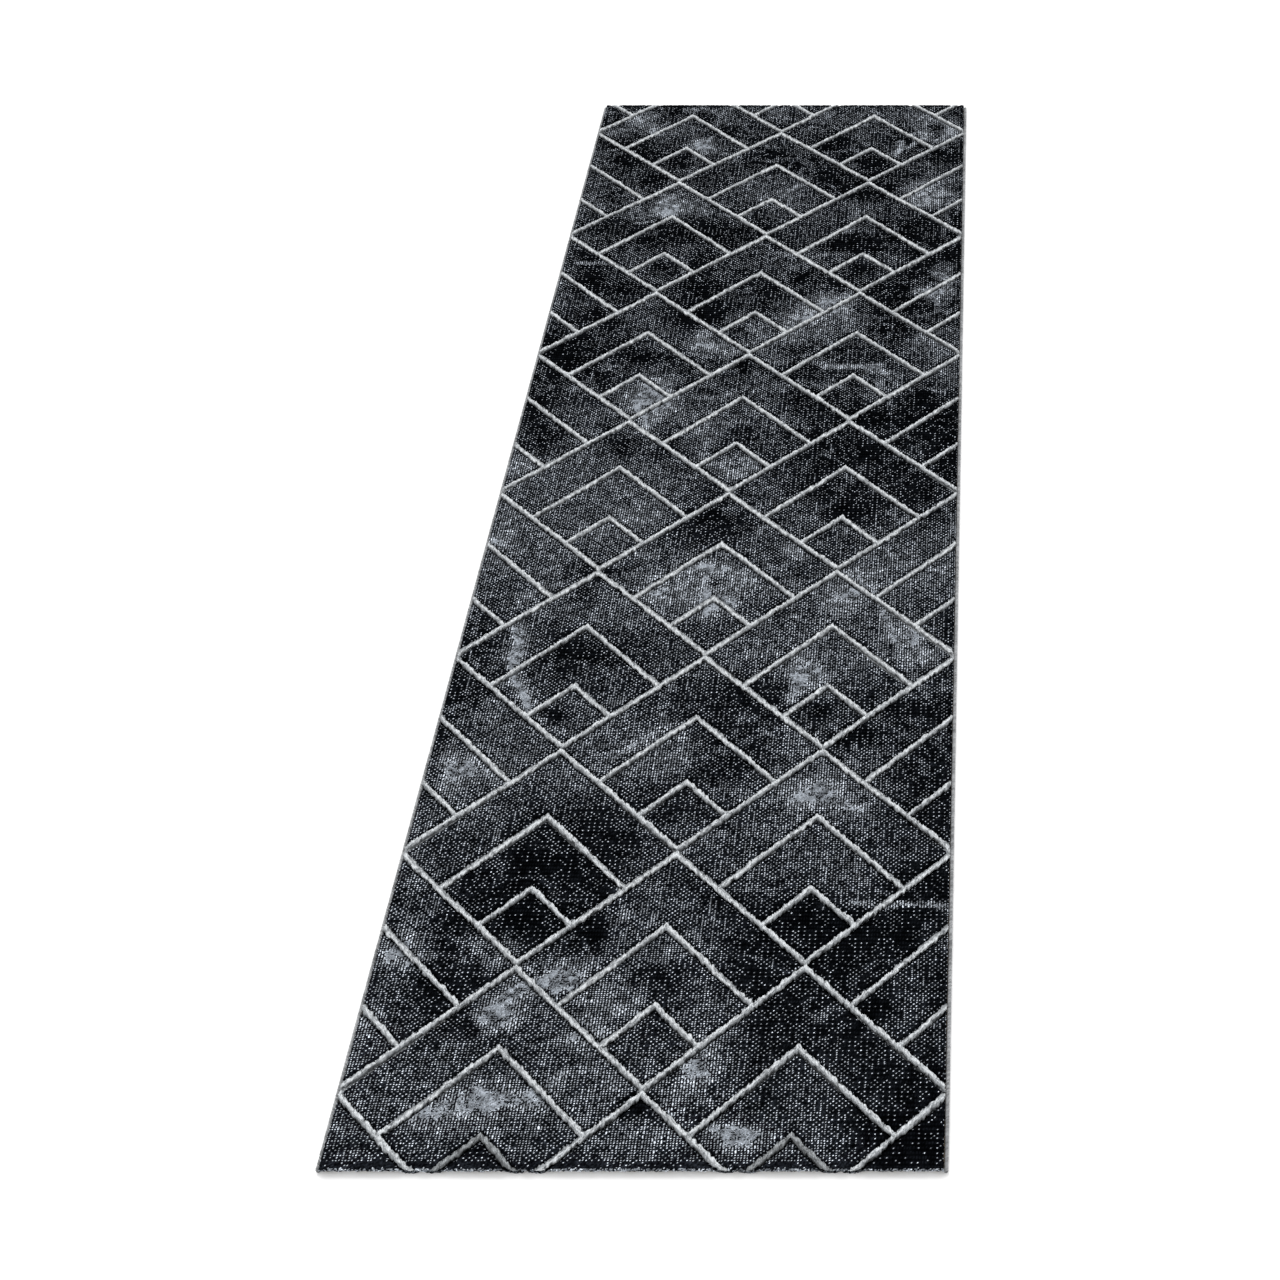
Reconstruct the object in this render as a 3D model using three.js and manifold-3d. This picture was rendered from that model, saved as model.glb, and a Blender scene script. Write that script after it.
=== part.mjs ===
// Runner rug, 0.80 x 2.50 m: a machine-woven cut-pile runner with a lattice of raised silver lines.
// Frame: millimetres, +Z up, X across the width, Y along the length, origin on the floor at the centre.
// The chevrons point to +Y, the far end. Every piece keeps a gap of 0.3 mm to its neighbours.
import * as THREE from "three";
import { mergeVertices } from "three/addons/utils/BufferGeometryUtils.js";
import Module from "manifold-3d";

const wasm = await Module();
wasm.setup();

// ---- Driving dimensions -------------------------------------------------------------------------
const WIDTH = 800; // over the two overcast edges
const LENGTH = 2500; // over the two pile ends
const GAP = 0.3; // between pieces that touch on the real rug

// Layers, from the floor up, away from the folded ends
const SIZING = 0.5; // back sizing film
const WEAVE = 1.6; // ground weave
const FIELD_TOP = 11; // top of the dark pile
const LINE_TOP = 12; // top of the silver pile, which stands proud
const GLUE = 0.3; // adhesive film inside each folded hem

// Folded ends
const HEM_DEPTH = 42; // from the end of the rug to the cut edge of the flap
const HEM_RAMP = 18; // length over which the weave climbs onto the flap
const FOLD_INSET = 2.5; // the pile overhangs the fold by this much
const PILE_END_LIFT = 1.1; // the overhanging tufts start this much above the weave
const PILE_END_ROUND = 4; // rounding of the pile's top edge at the ends

// Overcast long edges
const BINDING_WIDTH = 5.5;
const BINDING_TOP = 6.6;
const BINDING_WALL = 0.8;
const BINDING_FLOOR = 0.5;
const BINDING_ROUND = 2; // rounding of its outer edges
const CORD_DIAMETER = 2;
const CORD_SIDES = 12;
const CORNER_RADIUS = 4; // in plan

// Line pattern: a lattice of diamonds, each with two nested chevrons
const REPEAT_X = 396.6;
const REPEAT_Y = 380.5;
const FIRST_NODE_Y = -1141.5; // lowest crossing on the centre line
const LINE_WIDTH = 8;
const GROOVE_WIDTH = 3.5; // carved strip on each side of a line
const GROOVE_DEPTH = 3; // below the dark pile's top
const CHEVRON_DEPTH = 5.5; // channel that a chevron lies in, below the dark pile's top
const CHEVRONS = [1 / 3, 2 / 3]; // apex below the top of its diamond, as a part of REPEAT_Y

// ---- Worked out from the above --------------------------------------------------------------------
const HALF_WIDTH = WIDTH / 2;
const HALF_LENGTH = LENGTH / 2;
const WEAVE_BOTTOM = SIZING + GAP;
const WEAVE_TOP = WEAVE_BOTTOM + WEAVE;
const HEM_WEAVE_BOTTOM = WEAVE + GAP + GLUE + GAP;
const HEM_RISE = HEM_WEAVE_BOTTOM - WEAVE_BOTTOM;
const PILE_BOTTOM = WEAVE_TOP + GAP;
const PILE_HALF_WIDTH = HALF_WIDTH - BINDING_WIDTH - GAP;
const BINDING_INNER = HALF_WIDTH - BINDING_WIDTH;
const CORD_CENTRE_X = HALF_WIDTH - BINDING_WALL - GAP - CORD_DIAMETER / 2;
const WEAVE_HALF_WIDTH = CORD_CENTRE_X - CORD_DIAMETER / 2 - GAP;
const CORD_CENTRE_Z = (BINDING_TOP - BINDING_WALL + BINDING_FLOOR) / 2;
const RAMP_END = HALF_LENGTH - HEM_DEPTH; // the weave is up on the flap from here outwards
const RAMP_START = RAMP_END - HEM_RAMP;
const SLOPE = REPEAT_Y / REPEAT_X; // of every line in plan
const LINE_ANGLE = Math.atan(SLOPE);
const TALL = 60; // height of a cutting prism
const ARC_STEPS = 4; // straight pieces in a quarter turn

// ---- Materials ----------------------------------------------------------------------------------
const material = (color, roughness) => new THREE.MeshStandardMaterial({ color, roughness, metalness: 0 });
const DARK_PILE = material(0x1c1f22, 0.95);
const SILVER_PILE = material(0xc4c9cc, 0.9);
const EDGE_YARN = material(0x8f9294, 0.85);
const JUTE = material(0xa98f66, 0.95);
const SIZING_FILM = material(0xcfc7b4, 0.7);
const HOT_MELT = material(0xd8cfb8, 0.45);

// ---- Solids ---------------------------------------------------------------------------------------
// A closed three.js geometry as a solid that can be joined and cut.
function solidOf(geometry) {
  const bare = geometry.index ? geometry.toNonIndexed() : geometry.clone();
  bare.deleteAttribute("normal");
  bare.deleteAttribute("uv");
  const merged = mergeVertices(bare, 1e-4);
  const mesh = new wasm.Mesh({
    numProp: 3,
    vertProperties: merged.attributes.position.array,
    triVerts: new Uint32Array(merged.index.array),
  });
  return new wasm.Manifold(mesh);
}

// A solid back to a three.js geometry.
function geometryOf(solid) {
  const mesh = solid.getMesh();
  const positions = new Float32Array(mesh.numVert * 3);
  for (let i = 0; i < mesh.numVert; i += 1) {
    const start = i * mesh.numProp;
    positions.set(mesh.vertProperties.subarray(start, start + 3), i * 3);
  }
  const geometry = new THREE.BufferGeometry();
  geometry.setAttribute("position", new THREE.BufferAttribute(positions, 3));
  geometry.setIndex(new THREE.BufferAttribute(new Uint32Array(mesh.triVerts), 1));
  geometry.computeVertexNormals();
  return geometry;
}

const shapeOf = (points) => new THREE.Shape(points.map(([x, y]) => new THREE.Vector2(x, y)));

// An outline in its own plane, extruded by depth along +Z.
function extruded(shape, depth) {
  return new THREE.ExtrudeGeometry(shape, { depth, bevelEnabled: false, curveSegments: ARC_STEPS });
}

// A plan outline raised from z = bottom to z = top.
function prism(shape, bottom, top) {
  const geometry = extruded(shape, top - bottom);
  geometry.translate(0, 0, bottom);
  return solidOf(geometry);
}

// A cross-section drawn in (along Y, up Z), run across the rug from x = -half to x = half.
function acrossRug(shape, half) {
  const geometry = extruded(shape, 2 * half);
  geometry.translate(0, 0, -half);
  // The section's x goes to +Y, its y to +Z and the extrusion to +X.
  geometry.applyMatrix4(new THREE.Matrix4().set(0, 0, 1, 0, 1, 0, 0, 0, 0, 1, 0, 0, 0, 0, 0, 1));
  return solidOf(geometry);
}

// A cross-section drawn in (across X, up Z), run along the rug from y = -half to y = half.
function alongRug(shape, half) {
  const geometry = extruded(shape, 2 * half);
  geometry.translate(0, 0, -half);
  geometry.rotateX(Math.PI / 2);
  return solidOf(geometry);
}

// A rectangle with round corners, centred on the origin.
function roundedOutline(halfX, halfY, radius) {
  const shape = new THREE.Shape();
  shape.moveTo(halfX, -halfY + radius);
  shape.lineTo(halfX, halfY - radius);
  shape.absarc(halfX - radius, halfY - radius, radius, 0, Math.PI / 2, false);
  shape.lineTo(-halfX + radius, halfY);
  shape.absarc(-halfX + radius, halfY - radius, radius, Math.PI / 2, Math.PI, false);
  shape.lineTo(-halfX, -halfY + radius);
  shape.absarc(-halfX + radius, -halfY + radius, radius, Math.PI, Math.PI * 1.5, false);
  shape.lineTo(halfX - radius, -halfY);
  shape.absarc(halfX - radius, -halfY + radius, radius, Math.PI * 1.5, Math.PI * 2, false);
  return shape;
}

const joined = (solids) => solids.reduce((all, next) => all.add(next));

// ---- Levels along the length ------------------------------------------------------------------------
// Points [y, lift] along which the weave, and the pile on it, climb onto the flap at the +Y end.
function climb() {
  const points = [];
  for (let i = 0; i <= ARC_STEPS; i += 1) {
    const part = i / ARC_STEPS;
    const lift = (HEM_RISE * (1 - Math.cos(Math.PI * part))) / 2;
    points.push([RAMP_START + HEM_RAMP * part, lift]);
  }
  return points;
}
const CLIMB = climb();

// One end's points and the other end's, mirrored, as a symmetric run from -Y to +Y.
const symmetric = (half) => [...half.map(([y, z]) => [-y, z]).reverse(), ...half];

// The pile's body from its roots to a top level, climbing over the hems, with its ends rounded off.
function pileBlanket(top) {
  const end = HALF_LENGTH;
  const roots = CLIMB.map(([y, lift]) => [y, PILE_BOTTOM + lift]);
  roots.push([end - FOLD_INSET - 1, PILE_BOTTOM + HEM_RISE]);
  roots.push([end, PILE_BOTTOM + HEM_RISE + PILE_END_LIFT]);
  const tips = CLIMB.map(([y, lift]) => [y, top + lift]);
  for (let i = 0; i <= ARC_STEPS; i += 1) {
    const angle = (Math.PI / 2) * (1 - i / ARC_STEPS);
    const y = end - PILE_END_ROUND + PILE_END_ROUND * Math.cos(angle);
    tips.push([y, top + HEM_RISE - PILE_END_ROUND + PILE_END_ROUND * Math.sin(angle)]);
  }
  const outline = [...symmetric(roots), ...symmetric(tips).reverse()];
  return acrossRug(shapeOf(outline), PILE_HALF_WIDTH);
}

// All that lies under a level of the pile, as a cutting body that climbs with it.
function underLevel(level) {
  const margin = 10;
  const surface = CLIMB.map(([y, lift]) => [y, level + lift]);
  surface.push([HALF_LENGTH + margin, level + HEM_RISE]);
  const floor = [[-HALF_LENGTH - margin, -margin], [HALF_LENGTH + margin, -margin]];
  return acrossRug(shapeOf([...floor, ...symmetric(surface).reverse()]), HALF_WIDTH);
}

// ---- Ground weave and what is under it ---------------------------------------------------------------
// One cloth: its two ends climb, fold round and come back under as the hems' flaps. The flaps stop short
// of the overcasting, which grips the upper layer alone.
function groundWeave() {
  const foldOuter = (HEM_WEAVE_BOTTOM + WEAVE) / 2;
  const foldInner = foldOuter - WEAVE;
  const foldY = HALF_LENGTH - FOLD_INSET - foldOuter;
  const upper = CLIMB.map(([y, lift]) => [y, WEAVE_TOP + lift]);
  const lower = CLIMB.map(([y, lift]) => [y, WEAVE_BOTTOM + lift]);
  const layer = symmetric([...upper, [foldY, HEM_WEAVE_BOTTOM + WEAVE]]);
  layer.push(...symmetric([...lower, [foldY, HEM_WEAVE_BOTTOM]]).reverse());
  for (let i = 0; i <= 2 * ARC_STEPS; i += 1) {
    const angle = (Math.PI / 2) * (1 - i / ARC_STEPS);
    upper.push([foldY + foldOuter * Math.cos(angle), foldOuter + foldOuter * Math.sin(angle)]);
    lower.push([foldY + foldInner * Math.cos(angle), foldOuter + foldInner * Math.sin(angle)]);
  }
  upper.push([RAMP_END, 0]);
  lower.push([RAMP_END, WEAVE]);
  const half = [...upper, ...lower.reverse()];
  const folded = [...half, ...half.map(([y, z]) => [-y, z]).reverse()];
  return acrossRug(shapeOf(folded), BINDING_INNER - GAP).add(acrossRug(shapeOf(layer), WEAVE_HALF_WIDTH));
}

// The film brushed on the back between the two hems, which the middle of the rug lies on.
function backSizing() {
  const end = RAMP_START - GAP;
  return prism(roundedOutline(BINDING_INNER - GAP, end, CORNER_RADIUS), 0, SIZING);
}

// The adhesive film that holds one flap up against the weave.
function hemAdhesive(side) {
  const outer = HALF_LENGTH - FOLD_INSET - (HEM_WEAVE_BOTTOM + WEAVE) / 2 - GAP;
  const inner = RAMP_END + GAP;
  const centre = (side * (outer + inner)) / 2;
  const geometry = new THREE.BoxGeometry(2 * (BINDING_INNER - GAP), outer - inner, GLUE);
  geometry.translate(0, centre, WEAVE + GAP + GLUE / 2);
  return solidOf(geometry);
}

// ---- Overcast edges ------------------------------------------------------------------------------------
// The wrapped yarn as one shell, open towards the rug, where it grips the weave and the cord.
function overcastBinding(side) {
  const outer = HALF_WIDTH;
  const inner = BINDING_INNER;
  const round = BINDING_ROUND;
  const shape = new THREE.Shape();
  shape.moveTo(inner, 0);
  shape.lineTo(outer - round, 0);
  shape.absarc(outer - round, round, round, -Math.PI / 2, 0, false);
  shape.lineTo(outer, BINDING_TOP - round);
  shape.absarc(outer - round, BINDING_TOP - round, round, 0, Math.PI / 2, false);
  shape.lineTo(inner, BINDING_TOP);
  shape.lineTo(inner, BINDING_TOP - BINDING_WALL);
  shape.lineTo(outer - round, BINDING_TOP - BINDING_WALL);
  shape.lineTo(outer - BINDING_WALL, BINDING_TOP - round);
  shape.lineTo(outer - BINDING_WALL, round);
  shape.lineTo(outer - round, BINDING_FLOOR);
  shape.lineTo(inner, BINDING_FLOOR);
  const straight = alongRug(shape, HALF_LENGTH);
  const plan = prism(roundedOutline(HALF_WIDTH, HALF_LENGTH, CORNER_RADIUS), -1, TALL);
  const cut = straight.intersect(plan);
  return side > 0 ? cut : cut.mirror([1, 0, 0]);
}

// The cord that stiffens the edge inside the overcasting.
function selvedgeCord(side) {
  const halfLength = HALF_LENGTH - CORNER_RADIUS;
  const radius = CORD_DIAMETER / 2;
  const geometry = new THREE.CylinderGeometry(radius, radius, 2 * halfLength, CORD_SIDES);
  geometry.translate(side * CORD_CENTRE_X, 0, CORD_CENTRE_Z);
  return solidOf(geometry);
}

// ---- Line pattern in plan ---------------------------------------------------------------------------------
// One straight lattice line through (0, y0), rising to +X for direction 1 and to -X for direction -1.
function latticeLine(y0, direction) {
  const length = WIDTH / Math.cos(LINE_ANGLE) + 2 * LINE_WIDTH;
  const geometry = new THREE.BoxGeometry(length, LINE_WIDTH, TALL);
  geometry.rotateZ(direction * LINE_ANGLE);
  geometry.translate(0, y0, TALL / 2);
  return solidOf(geometry);
}

// The outline of a mitred chevron: apex at (x, y), legs falling on both sides by run across the rug.
function chevronOutline(x, y, run, width) {
  const rise = width / 2 / Math.cos(LINE_ANGLE);
  const fall = run * SLOPE;
  return shapeOf([
    [x, y + rise],
    [x - run, y - fall + rise],
    [x - run, y - fall - rise],
    [x, y - rise],
    [x + run, y - fall - rise],
    [x + run, y - fall + rise],
  ]);
}

// A diamond about (x, y), smaller than the lattice cell by inset, measured square to its sides.
function diamondOutline(x, y, inset) {
  const halfX = REPEAT_X / 2 - inset / Math.sin(LINE_ANGLE);
  const halfY = halfX * SLOPE;
  return shapeOf([
    [x + halfX, y],
    [x, y + halfY],
    [x - halfX, y],
    [x, y - halfY],
  ]);
}

// Every diamond that lies at least partly on the rug, with a name for its row and column.
function diamonds() {
  const found = [];
  const columns = ["left_edge", "left", "centre", "right", "right_edge"];
  columns.forEach((column, c) => {
    const x = ((c - 2) * REPEAT_X) / 2;
    const shift = c % 2 === 0 ? -REPEAT_Y / 2 : 0;
    let row = 1;
    for (let k = 0; k <= 7; k += 1) {
      const y = FIRST_NODE_Y + shift + k * REPEAT_Y;
      if (y - REPEAT_Y / 2 > HALF_LENGTH - LINE_WIDTH) continue;
      found.push({ name: `pile_field_${column}_${row}`, x, y });
      row += 1;
    }
  });
  return found;
}

// The chevrons of one diamond: their apexes, and how far their legs run across.
function chevronsOf(diamond) {
  return CHEVRONS.map((part) => ({
    x: diamond.x,
    y: diamond.y + REPEAT_Y / 2 - part * REPEAT_Y,
    run: ((1 - part) * REPEAT_X) / 2,
  }));
}

// ---- Pile ----------------------------------------------------------------------------------------------
const rugPlan = prism(roundedOutline(PILE_HALF_WIDTH, HALF_LENGTH, CORNER_RADIUS), -1, TALL);
const fieldBlanket = pileBlanket(FIELD_TOP).intersect(rugPlan);
const lineBlanket = pileBlanket(LINE_TOP).intersect(rugPlan);
const grooveBlanket = fieldBlanket.intersect(underLevel(FIELD_TOP - GROOVE_DEPTH));
const chevronFloor = fieldBlanket.intersect(underLevel(FIELD_TOP - CHEVRON_DEPTH));
const chevronBlanket = lineBlanket.subtract(underLevel(FIELD_TOP - CHEVRON_DEPTH + GAP));

// The dark pile of one diamond: full height inside, lower along every carved groove, and with a channel
// for each chevron.
function pileField(diamond) {
  const edge = LINE_WIDTH / 2 + GAP;
  const full = prism(diamondOutline(diamond.x, diamond.y, edge), 0, TALL);
  const inside = prism(diamondOutline(diamond.x, diamond.y, edge + GROOVE_WIDTH), 0, TALL);
  let high = fieldBlanket.intersect(inside);
  let low = grooveBlanket.intersect(full);
  for (const { x, y, run } of chevronsOf(diamond)) {
    const grooved = chevronOutline(x, y, run, LINE_WIDTH + 2 * GAP + 2 * GROOVE_WIDTH);
    const channel = chevronOutline(x, y, run, LINE_WIDTH + 2 * GAP);
    high = high.subtract(prism(grooved, 0, TALL));
    low = low.subtract(prism(channel, 0, TALL));
  }
  return joined([low, high, chevronFloor.intersect(full)]);
}

// The silver pile: every lattice line and every chevron, as far as they hang together.
function silverPile(cells) {
  const lines = [];
  for (let k = -1; k <= 8; k += 1) {
    for (const direction of [-1, 1]) {
      lines.push(latticeLine(FIRST_NODE_Y + k * REPEAT_Y, direction));
    }
  }
  const lattice = joined(lines).intersect(lineBlanket);
  const chevrons = [];
  for (const cell of cells) {
    for (const { x, y, run } of chevronsOf(cell)) {
      chevrons.push(prism(chevronOutline(x, y, run, LINE_WIDTH), 0, TALL));
    }
  }
  return lattice.add(joined(chevrons).intersect(chevronBlanket));
}

// ---- The rug -------------------------------------------------------------------------------------------
const rug = new THREE.Group();
rug.name = "runner_rug";

function addPiece(name, solid, finish) {
  const mesh = new THREE.Mesh(geometryOf(solid), finish);
  mesh.name = name;
  rug.add(mesh);
}

addPiece("ground_weave", groundWeave(), JUTE);
addPiece("back_sizing", backSizing(), SIZING_FILM);
for (const [end, side] of [["near", -1], ["far", 1]]) {
  addPiece(`${end}_hem_adhesive`, hemAdhesive(side), HOT_MELT);
}
for (const [edge, side] of [["left", -1], ["right", 1]]) {
  addPiece(`${edge}_selvedge_cord`, selvedgeCord(side), JUTE);
  addPiece(`${edge}_overcast_binding`, overcastBinding(side), EDGE_YARN);
}

const cells = diamonds();
for (const cell of cells) {
  addPiece(cell.name, pileField(cell), DARK_PILE);
}

// The lattice is the largest body; the rug's end cuts a few chevrons off from it.
const silverBodies = silverPile(cells).decompose();
silverBodies.sort((one, other) => other.volume() - one.volume());
silverBodies.forEach((body, i) => {
  const box = body.boundingBox();
  const across = (box.min[0] + box.max[0]) / 2 < 0 ? "left" : "right";
  const along = (box.min[1] + box.max[1]) / 2 < 0 ? "near" : "far";
  addPiece(i === 0 ? "silver_line_lattice" : `${along}_${across}_cut_chevron`, body, SILVER_PILE);
});

export default rug;
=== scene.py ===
"""Blender looks for a woven runner rug: carved pile, silver lines, overcast edges and ground cloth.

Everything is in metres, in the row frame: X across the rug, Y along it, Z up through the pile.
"""

import logging
import math
from dataclasses import dataclass, field
from enum import Enum, IntEnum
from typing import Any, Callable

import bpy
import numpy as np
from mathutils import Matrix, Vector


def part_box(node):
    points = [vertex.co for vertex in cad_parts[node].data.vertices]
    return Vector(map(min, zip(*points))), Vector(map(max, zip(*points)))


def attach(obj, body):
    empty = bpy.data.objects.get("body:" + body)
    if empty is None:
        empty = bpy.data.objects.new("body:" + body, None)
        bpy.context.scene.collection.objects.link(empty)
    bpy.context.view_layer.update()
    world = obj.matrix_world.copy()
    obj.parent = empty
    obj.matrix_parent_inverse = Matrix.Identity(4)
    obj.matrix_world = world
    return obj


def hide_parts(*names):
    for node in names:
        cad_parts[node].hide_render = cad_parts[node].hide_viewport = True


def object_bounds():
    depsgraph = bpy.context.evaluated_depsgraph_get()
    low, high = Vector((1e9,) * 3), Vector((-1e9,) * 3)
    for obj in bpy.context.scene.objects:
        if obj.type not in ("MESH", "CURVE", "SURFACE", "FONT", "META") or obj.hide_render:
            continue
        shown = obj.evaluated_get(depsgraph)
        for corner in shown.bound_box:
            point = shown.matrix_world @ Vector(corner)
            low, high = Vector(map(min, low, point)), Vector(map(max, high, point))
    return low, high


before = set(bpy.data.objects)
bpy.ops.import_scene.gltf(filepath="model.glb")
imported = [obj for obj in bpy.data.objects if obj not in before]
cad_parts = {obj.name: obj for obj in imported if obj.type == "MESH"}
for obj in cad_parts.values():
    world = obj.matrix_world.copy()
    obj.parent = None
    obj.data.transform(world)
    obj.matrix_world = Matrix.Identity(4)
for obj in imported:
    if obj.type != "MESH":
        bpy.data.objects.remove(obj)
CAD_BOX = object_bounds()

log = logging.getLogger("runner_rug")

MM = 0.001
BODY = "root"
YARN = "yarn"
BAKE_MAP = "OFBake"
SEED = 11


class Grain(IntEnum):
    """The seed of each sheet of smooth noise."""

    LINE_WAVE = 5
    LINE_CLUMP = 6
    LINE_STRAY = 7
    LINE_SWAY = 8
    LINE_PATCH = 9
    BINDING = 21
    WARP_X = 31
    WARP_Y = 47
    DRIFT = 61
    WISP = 83
    CURL = 97
    SWIRL_X = 131
    SWIRL_Y = 149
    PILE_PATCH = 173


def deselect() -> None:
    """Leaves object mode clean, with nothing selected."""
    if bpy.context.object is not None and bpy.context.object.mode != "OBJECT":
        bpy.ops.object.mode_set(mode="OBJECT")
    bpy.ops.object.select_all(action="DESELECT")


def points_of(piece: bpy.types.Object) -> np.ndarray:
    """Reads a mesh's vertices.

    Args:
        piece: A mesh object.

    Returns:
        An array of one row for each vertex.
    """
    flat = np.empty(len(piece.data.vertices) * 3)
    piece.data.vertices.foreach_get("co", flat)
    return flat.reshape(-1, 3)


def move_points(piece: bpy.types.Object, points: np.ndarray) -> None:
    """Writes a mesh's vertices.

    Args:
        piece: A mesh object.
        points: One row for each vertex.
    """
    piece.data.vertices.foreach_set("co", np.asarray(points, float).ravel())
    piece.data.update()


def noise_sheet(x: np.ndarray, y: np.ndarray, seed: int) -> np.ndarray:
    """Smooth noise with one bump for each unit square.

    Args:
        x: First coordinate.
        y: Second coordinate.
        seed: Picks the noise.

    Returns:
        Values from 0 to 1.
    """
    side = 128
    table = np.random.default_rng(seed).random((side, side))
    col = np.floor(x).astype(int)
    row = np.floor(y).astype(int)
    u = x - col
    v = y - row
    u = u * u * (3 - 2 * u)
    v = v * v * (3 - 2 * v)
    near = table[col % side, row % side] * (1 - u) + table[(col + 1) % side, row % side] * u
    far = table[col % side, (row + 1) % side] * (1 - u) + table[(col + 1) % side, (row + 1) % side] * u
    return near * (1 - v) + far * v


def cloudy(x: np.ndarray, y: np.ndarray, size: float, octaves: int, seed: int) -> np.ndarray:
    """Several layers of smooth noise, each half the size of the last.

    Args:
        x: First coordinate in metres.
        y: Second coordinate in metres.
        size: Distance between the largest bumps.
        octaves: Number of layers.
        seed: Picks the noise.

    Returns:
        Values from 0 to 1, gathered about one half.
    """
    total = np.zeros_like(x)
    weight = 0.0
    for layer in range(octaves):
        share = 0.5**layer
        step = size * share
        total += share * noise_sheet(x / step + 17.3 * layer, y / step + 5.9 * layer, seed + layer)
        weight += share
    return total / weight


def smooth_step(value: np.ndarray, low: float, high: float) -> np.ndarray:
    """Rises smoothly from 0 at low to 1 at high."""
    t = np.clip((value - low) / (high - low), 0, 1)
    return t * t * (3 - 2 * t)


class NodeBoard:
    """Builds one material's node tree."""

    def __init__(self, name: str) -> None:
        """Starts a material with its output and main shader.

        Args:
            name: The material's name.
        """
        self.material = bpy.data.materials.new(name)
        self.material.use_nodes = True
        self.tree = self.material.node_tree
        self.shader = self.tree.nodes["Principled BSDF"]

    def add(self, kind: str, settings: dict[str, Any] | None = None, **inputs: Any) -> bpy.types.Node:
        """Adds a node.

        Args:
            kind: The node's type.
            settings: Properties of the node itself.
            inputs: Values or sockets for its inputs, with _ for a space in a name.

        Returns:
            The node.
        """
        node = self.tree.nodes.new(kind)
        for key, value in (settings or {}).items():
            setattr(node, key, value)
        for key, value in inputs.items():
            self.feed(node.inputs[key.replace("_", " ")], value)
        return node

    def feed(self, socket: bpy.types.NodeSocket, value: Any) -> None:
        """Sets an input's value, or links another node's output to it."""
        if isinstance(value, bpy.types.NodeSocket):
            self.tree.links.new(value, socket)
        else:
            socket.default_value = value

    def place(self) -> bpy.types.NodeSocket:
        """Object coordinates, in metres."""
        return self.add("ShaderNodeTexCoord").outputs["Object"]

    def noise(self, size: float, detail: float = 2.0, stretch: tuple = (1, 1, 1)) -> bpy.types.NodeSocket:
        """Noise on object coordinates.

        Args:
            size: Size of one bump in metres.
            detail: Layers of finer noise.
            stretch: Squeeze of the pattern along X, Y and Z.

        Returns:
            The noise value's output.
        """
        turned = self.add("ShaderNodeMapping", Vector=self.place(), Scale=stretch)
        noise = self.add(
            "ShaderNodeTexNoise",
            Vector=turned.outputs["Vector"],
            Scale=1 / size,
            Detail=detail,
            Roughness=0.6,
        )
        return noise.outputs["Fac"]

    def spread(self, value: bpy.types.NodeSocket, low: float, high: float, to: tuple) -> bpy.types.NodeSocket:
        """Maps a value's range from low..high to the pair given."""
        ranged = self.add("ShaderNodeMapRange", Value=value)
        ranged.inputs["From Min"].default_value = low
        ranged.inputs["From Max"].default_value = high
        ranged.inputs["To Min"].default_value = to[0]
        ranged.inputs["To Max"].default_value = to[1]
        return ranged.outputs["Result"]

    def mix(self, amount: Any, first: Any, second: Any, way: str = "MIX") -> bpy.types.NodeSocket:
        """Mixes two colours.

        Args:
            amount: How much of the second.
            first: First colour.
            second: Second colour.
            way: Blend type.

        Returns:
            The mixed colour's output.
        """
        node = self.tree.nodes.new("ShaderNodeMix")
        node.data_type = "RGBA"
        node.blend_type = way
        self.feed(node.inputs[0], amount)
        self.feed(node.inputs[6], first)
        self.feed(node.inputs[7], second)
        return node.outputs[2]

    def bump(self, height: bpy.types.NodeSocket, depth: float, strength: float = 0.7) -> None:
        """Gives the shader a bump of the depth given in metres."""
        node = self.add("ShaderNodeBump", Height=height, Distance=depth, Strength=strength)
        self.feed(self.shader.inputs["Normal"], node.outputs["Normal"])

    def coat(self, colour: bpy.types.NodeSocket, **levels: float) -> None:
        """Feeds the shader its colour and sets other inputs, with _ for a space in a name."""
        self.feed(self.shader.inputs["Base Color"], colour)
        for key, value in levels.items():
            self.shader.inputs[key.replace("_", " ")].default_value = value

    def ragged(
        self, edge: bpy.types.NodeSocket, noise: bpy.types.NodeSocket, amount: float
    ) -> bpy.types.NodeSocket:
        """Frays a yarn's edge with noise."""
        node = self.add("ShaderNodeMath", {"operation": "MULTIPLY_ADD"})
        self.feed(node.inputs[0], noise)
        node.inputs[1].default_value = amount
        self.feed(node.inputs[2], edge)
        return node.outputs["Value"]

    def attribute(self, name: str) -> bpy.types.Node:
        """Splits a colour attribute into its three channels."""
        read = self.add("ShaderNodeAttribute", {"attribute_name": name})
        return self.add("ShaderNodeSeparateColor", Color=read.outputs["Color"])


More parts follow.
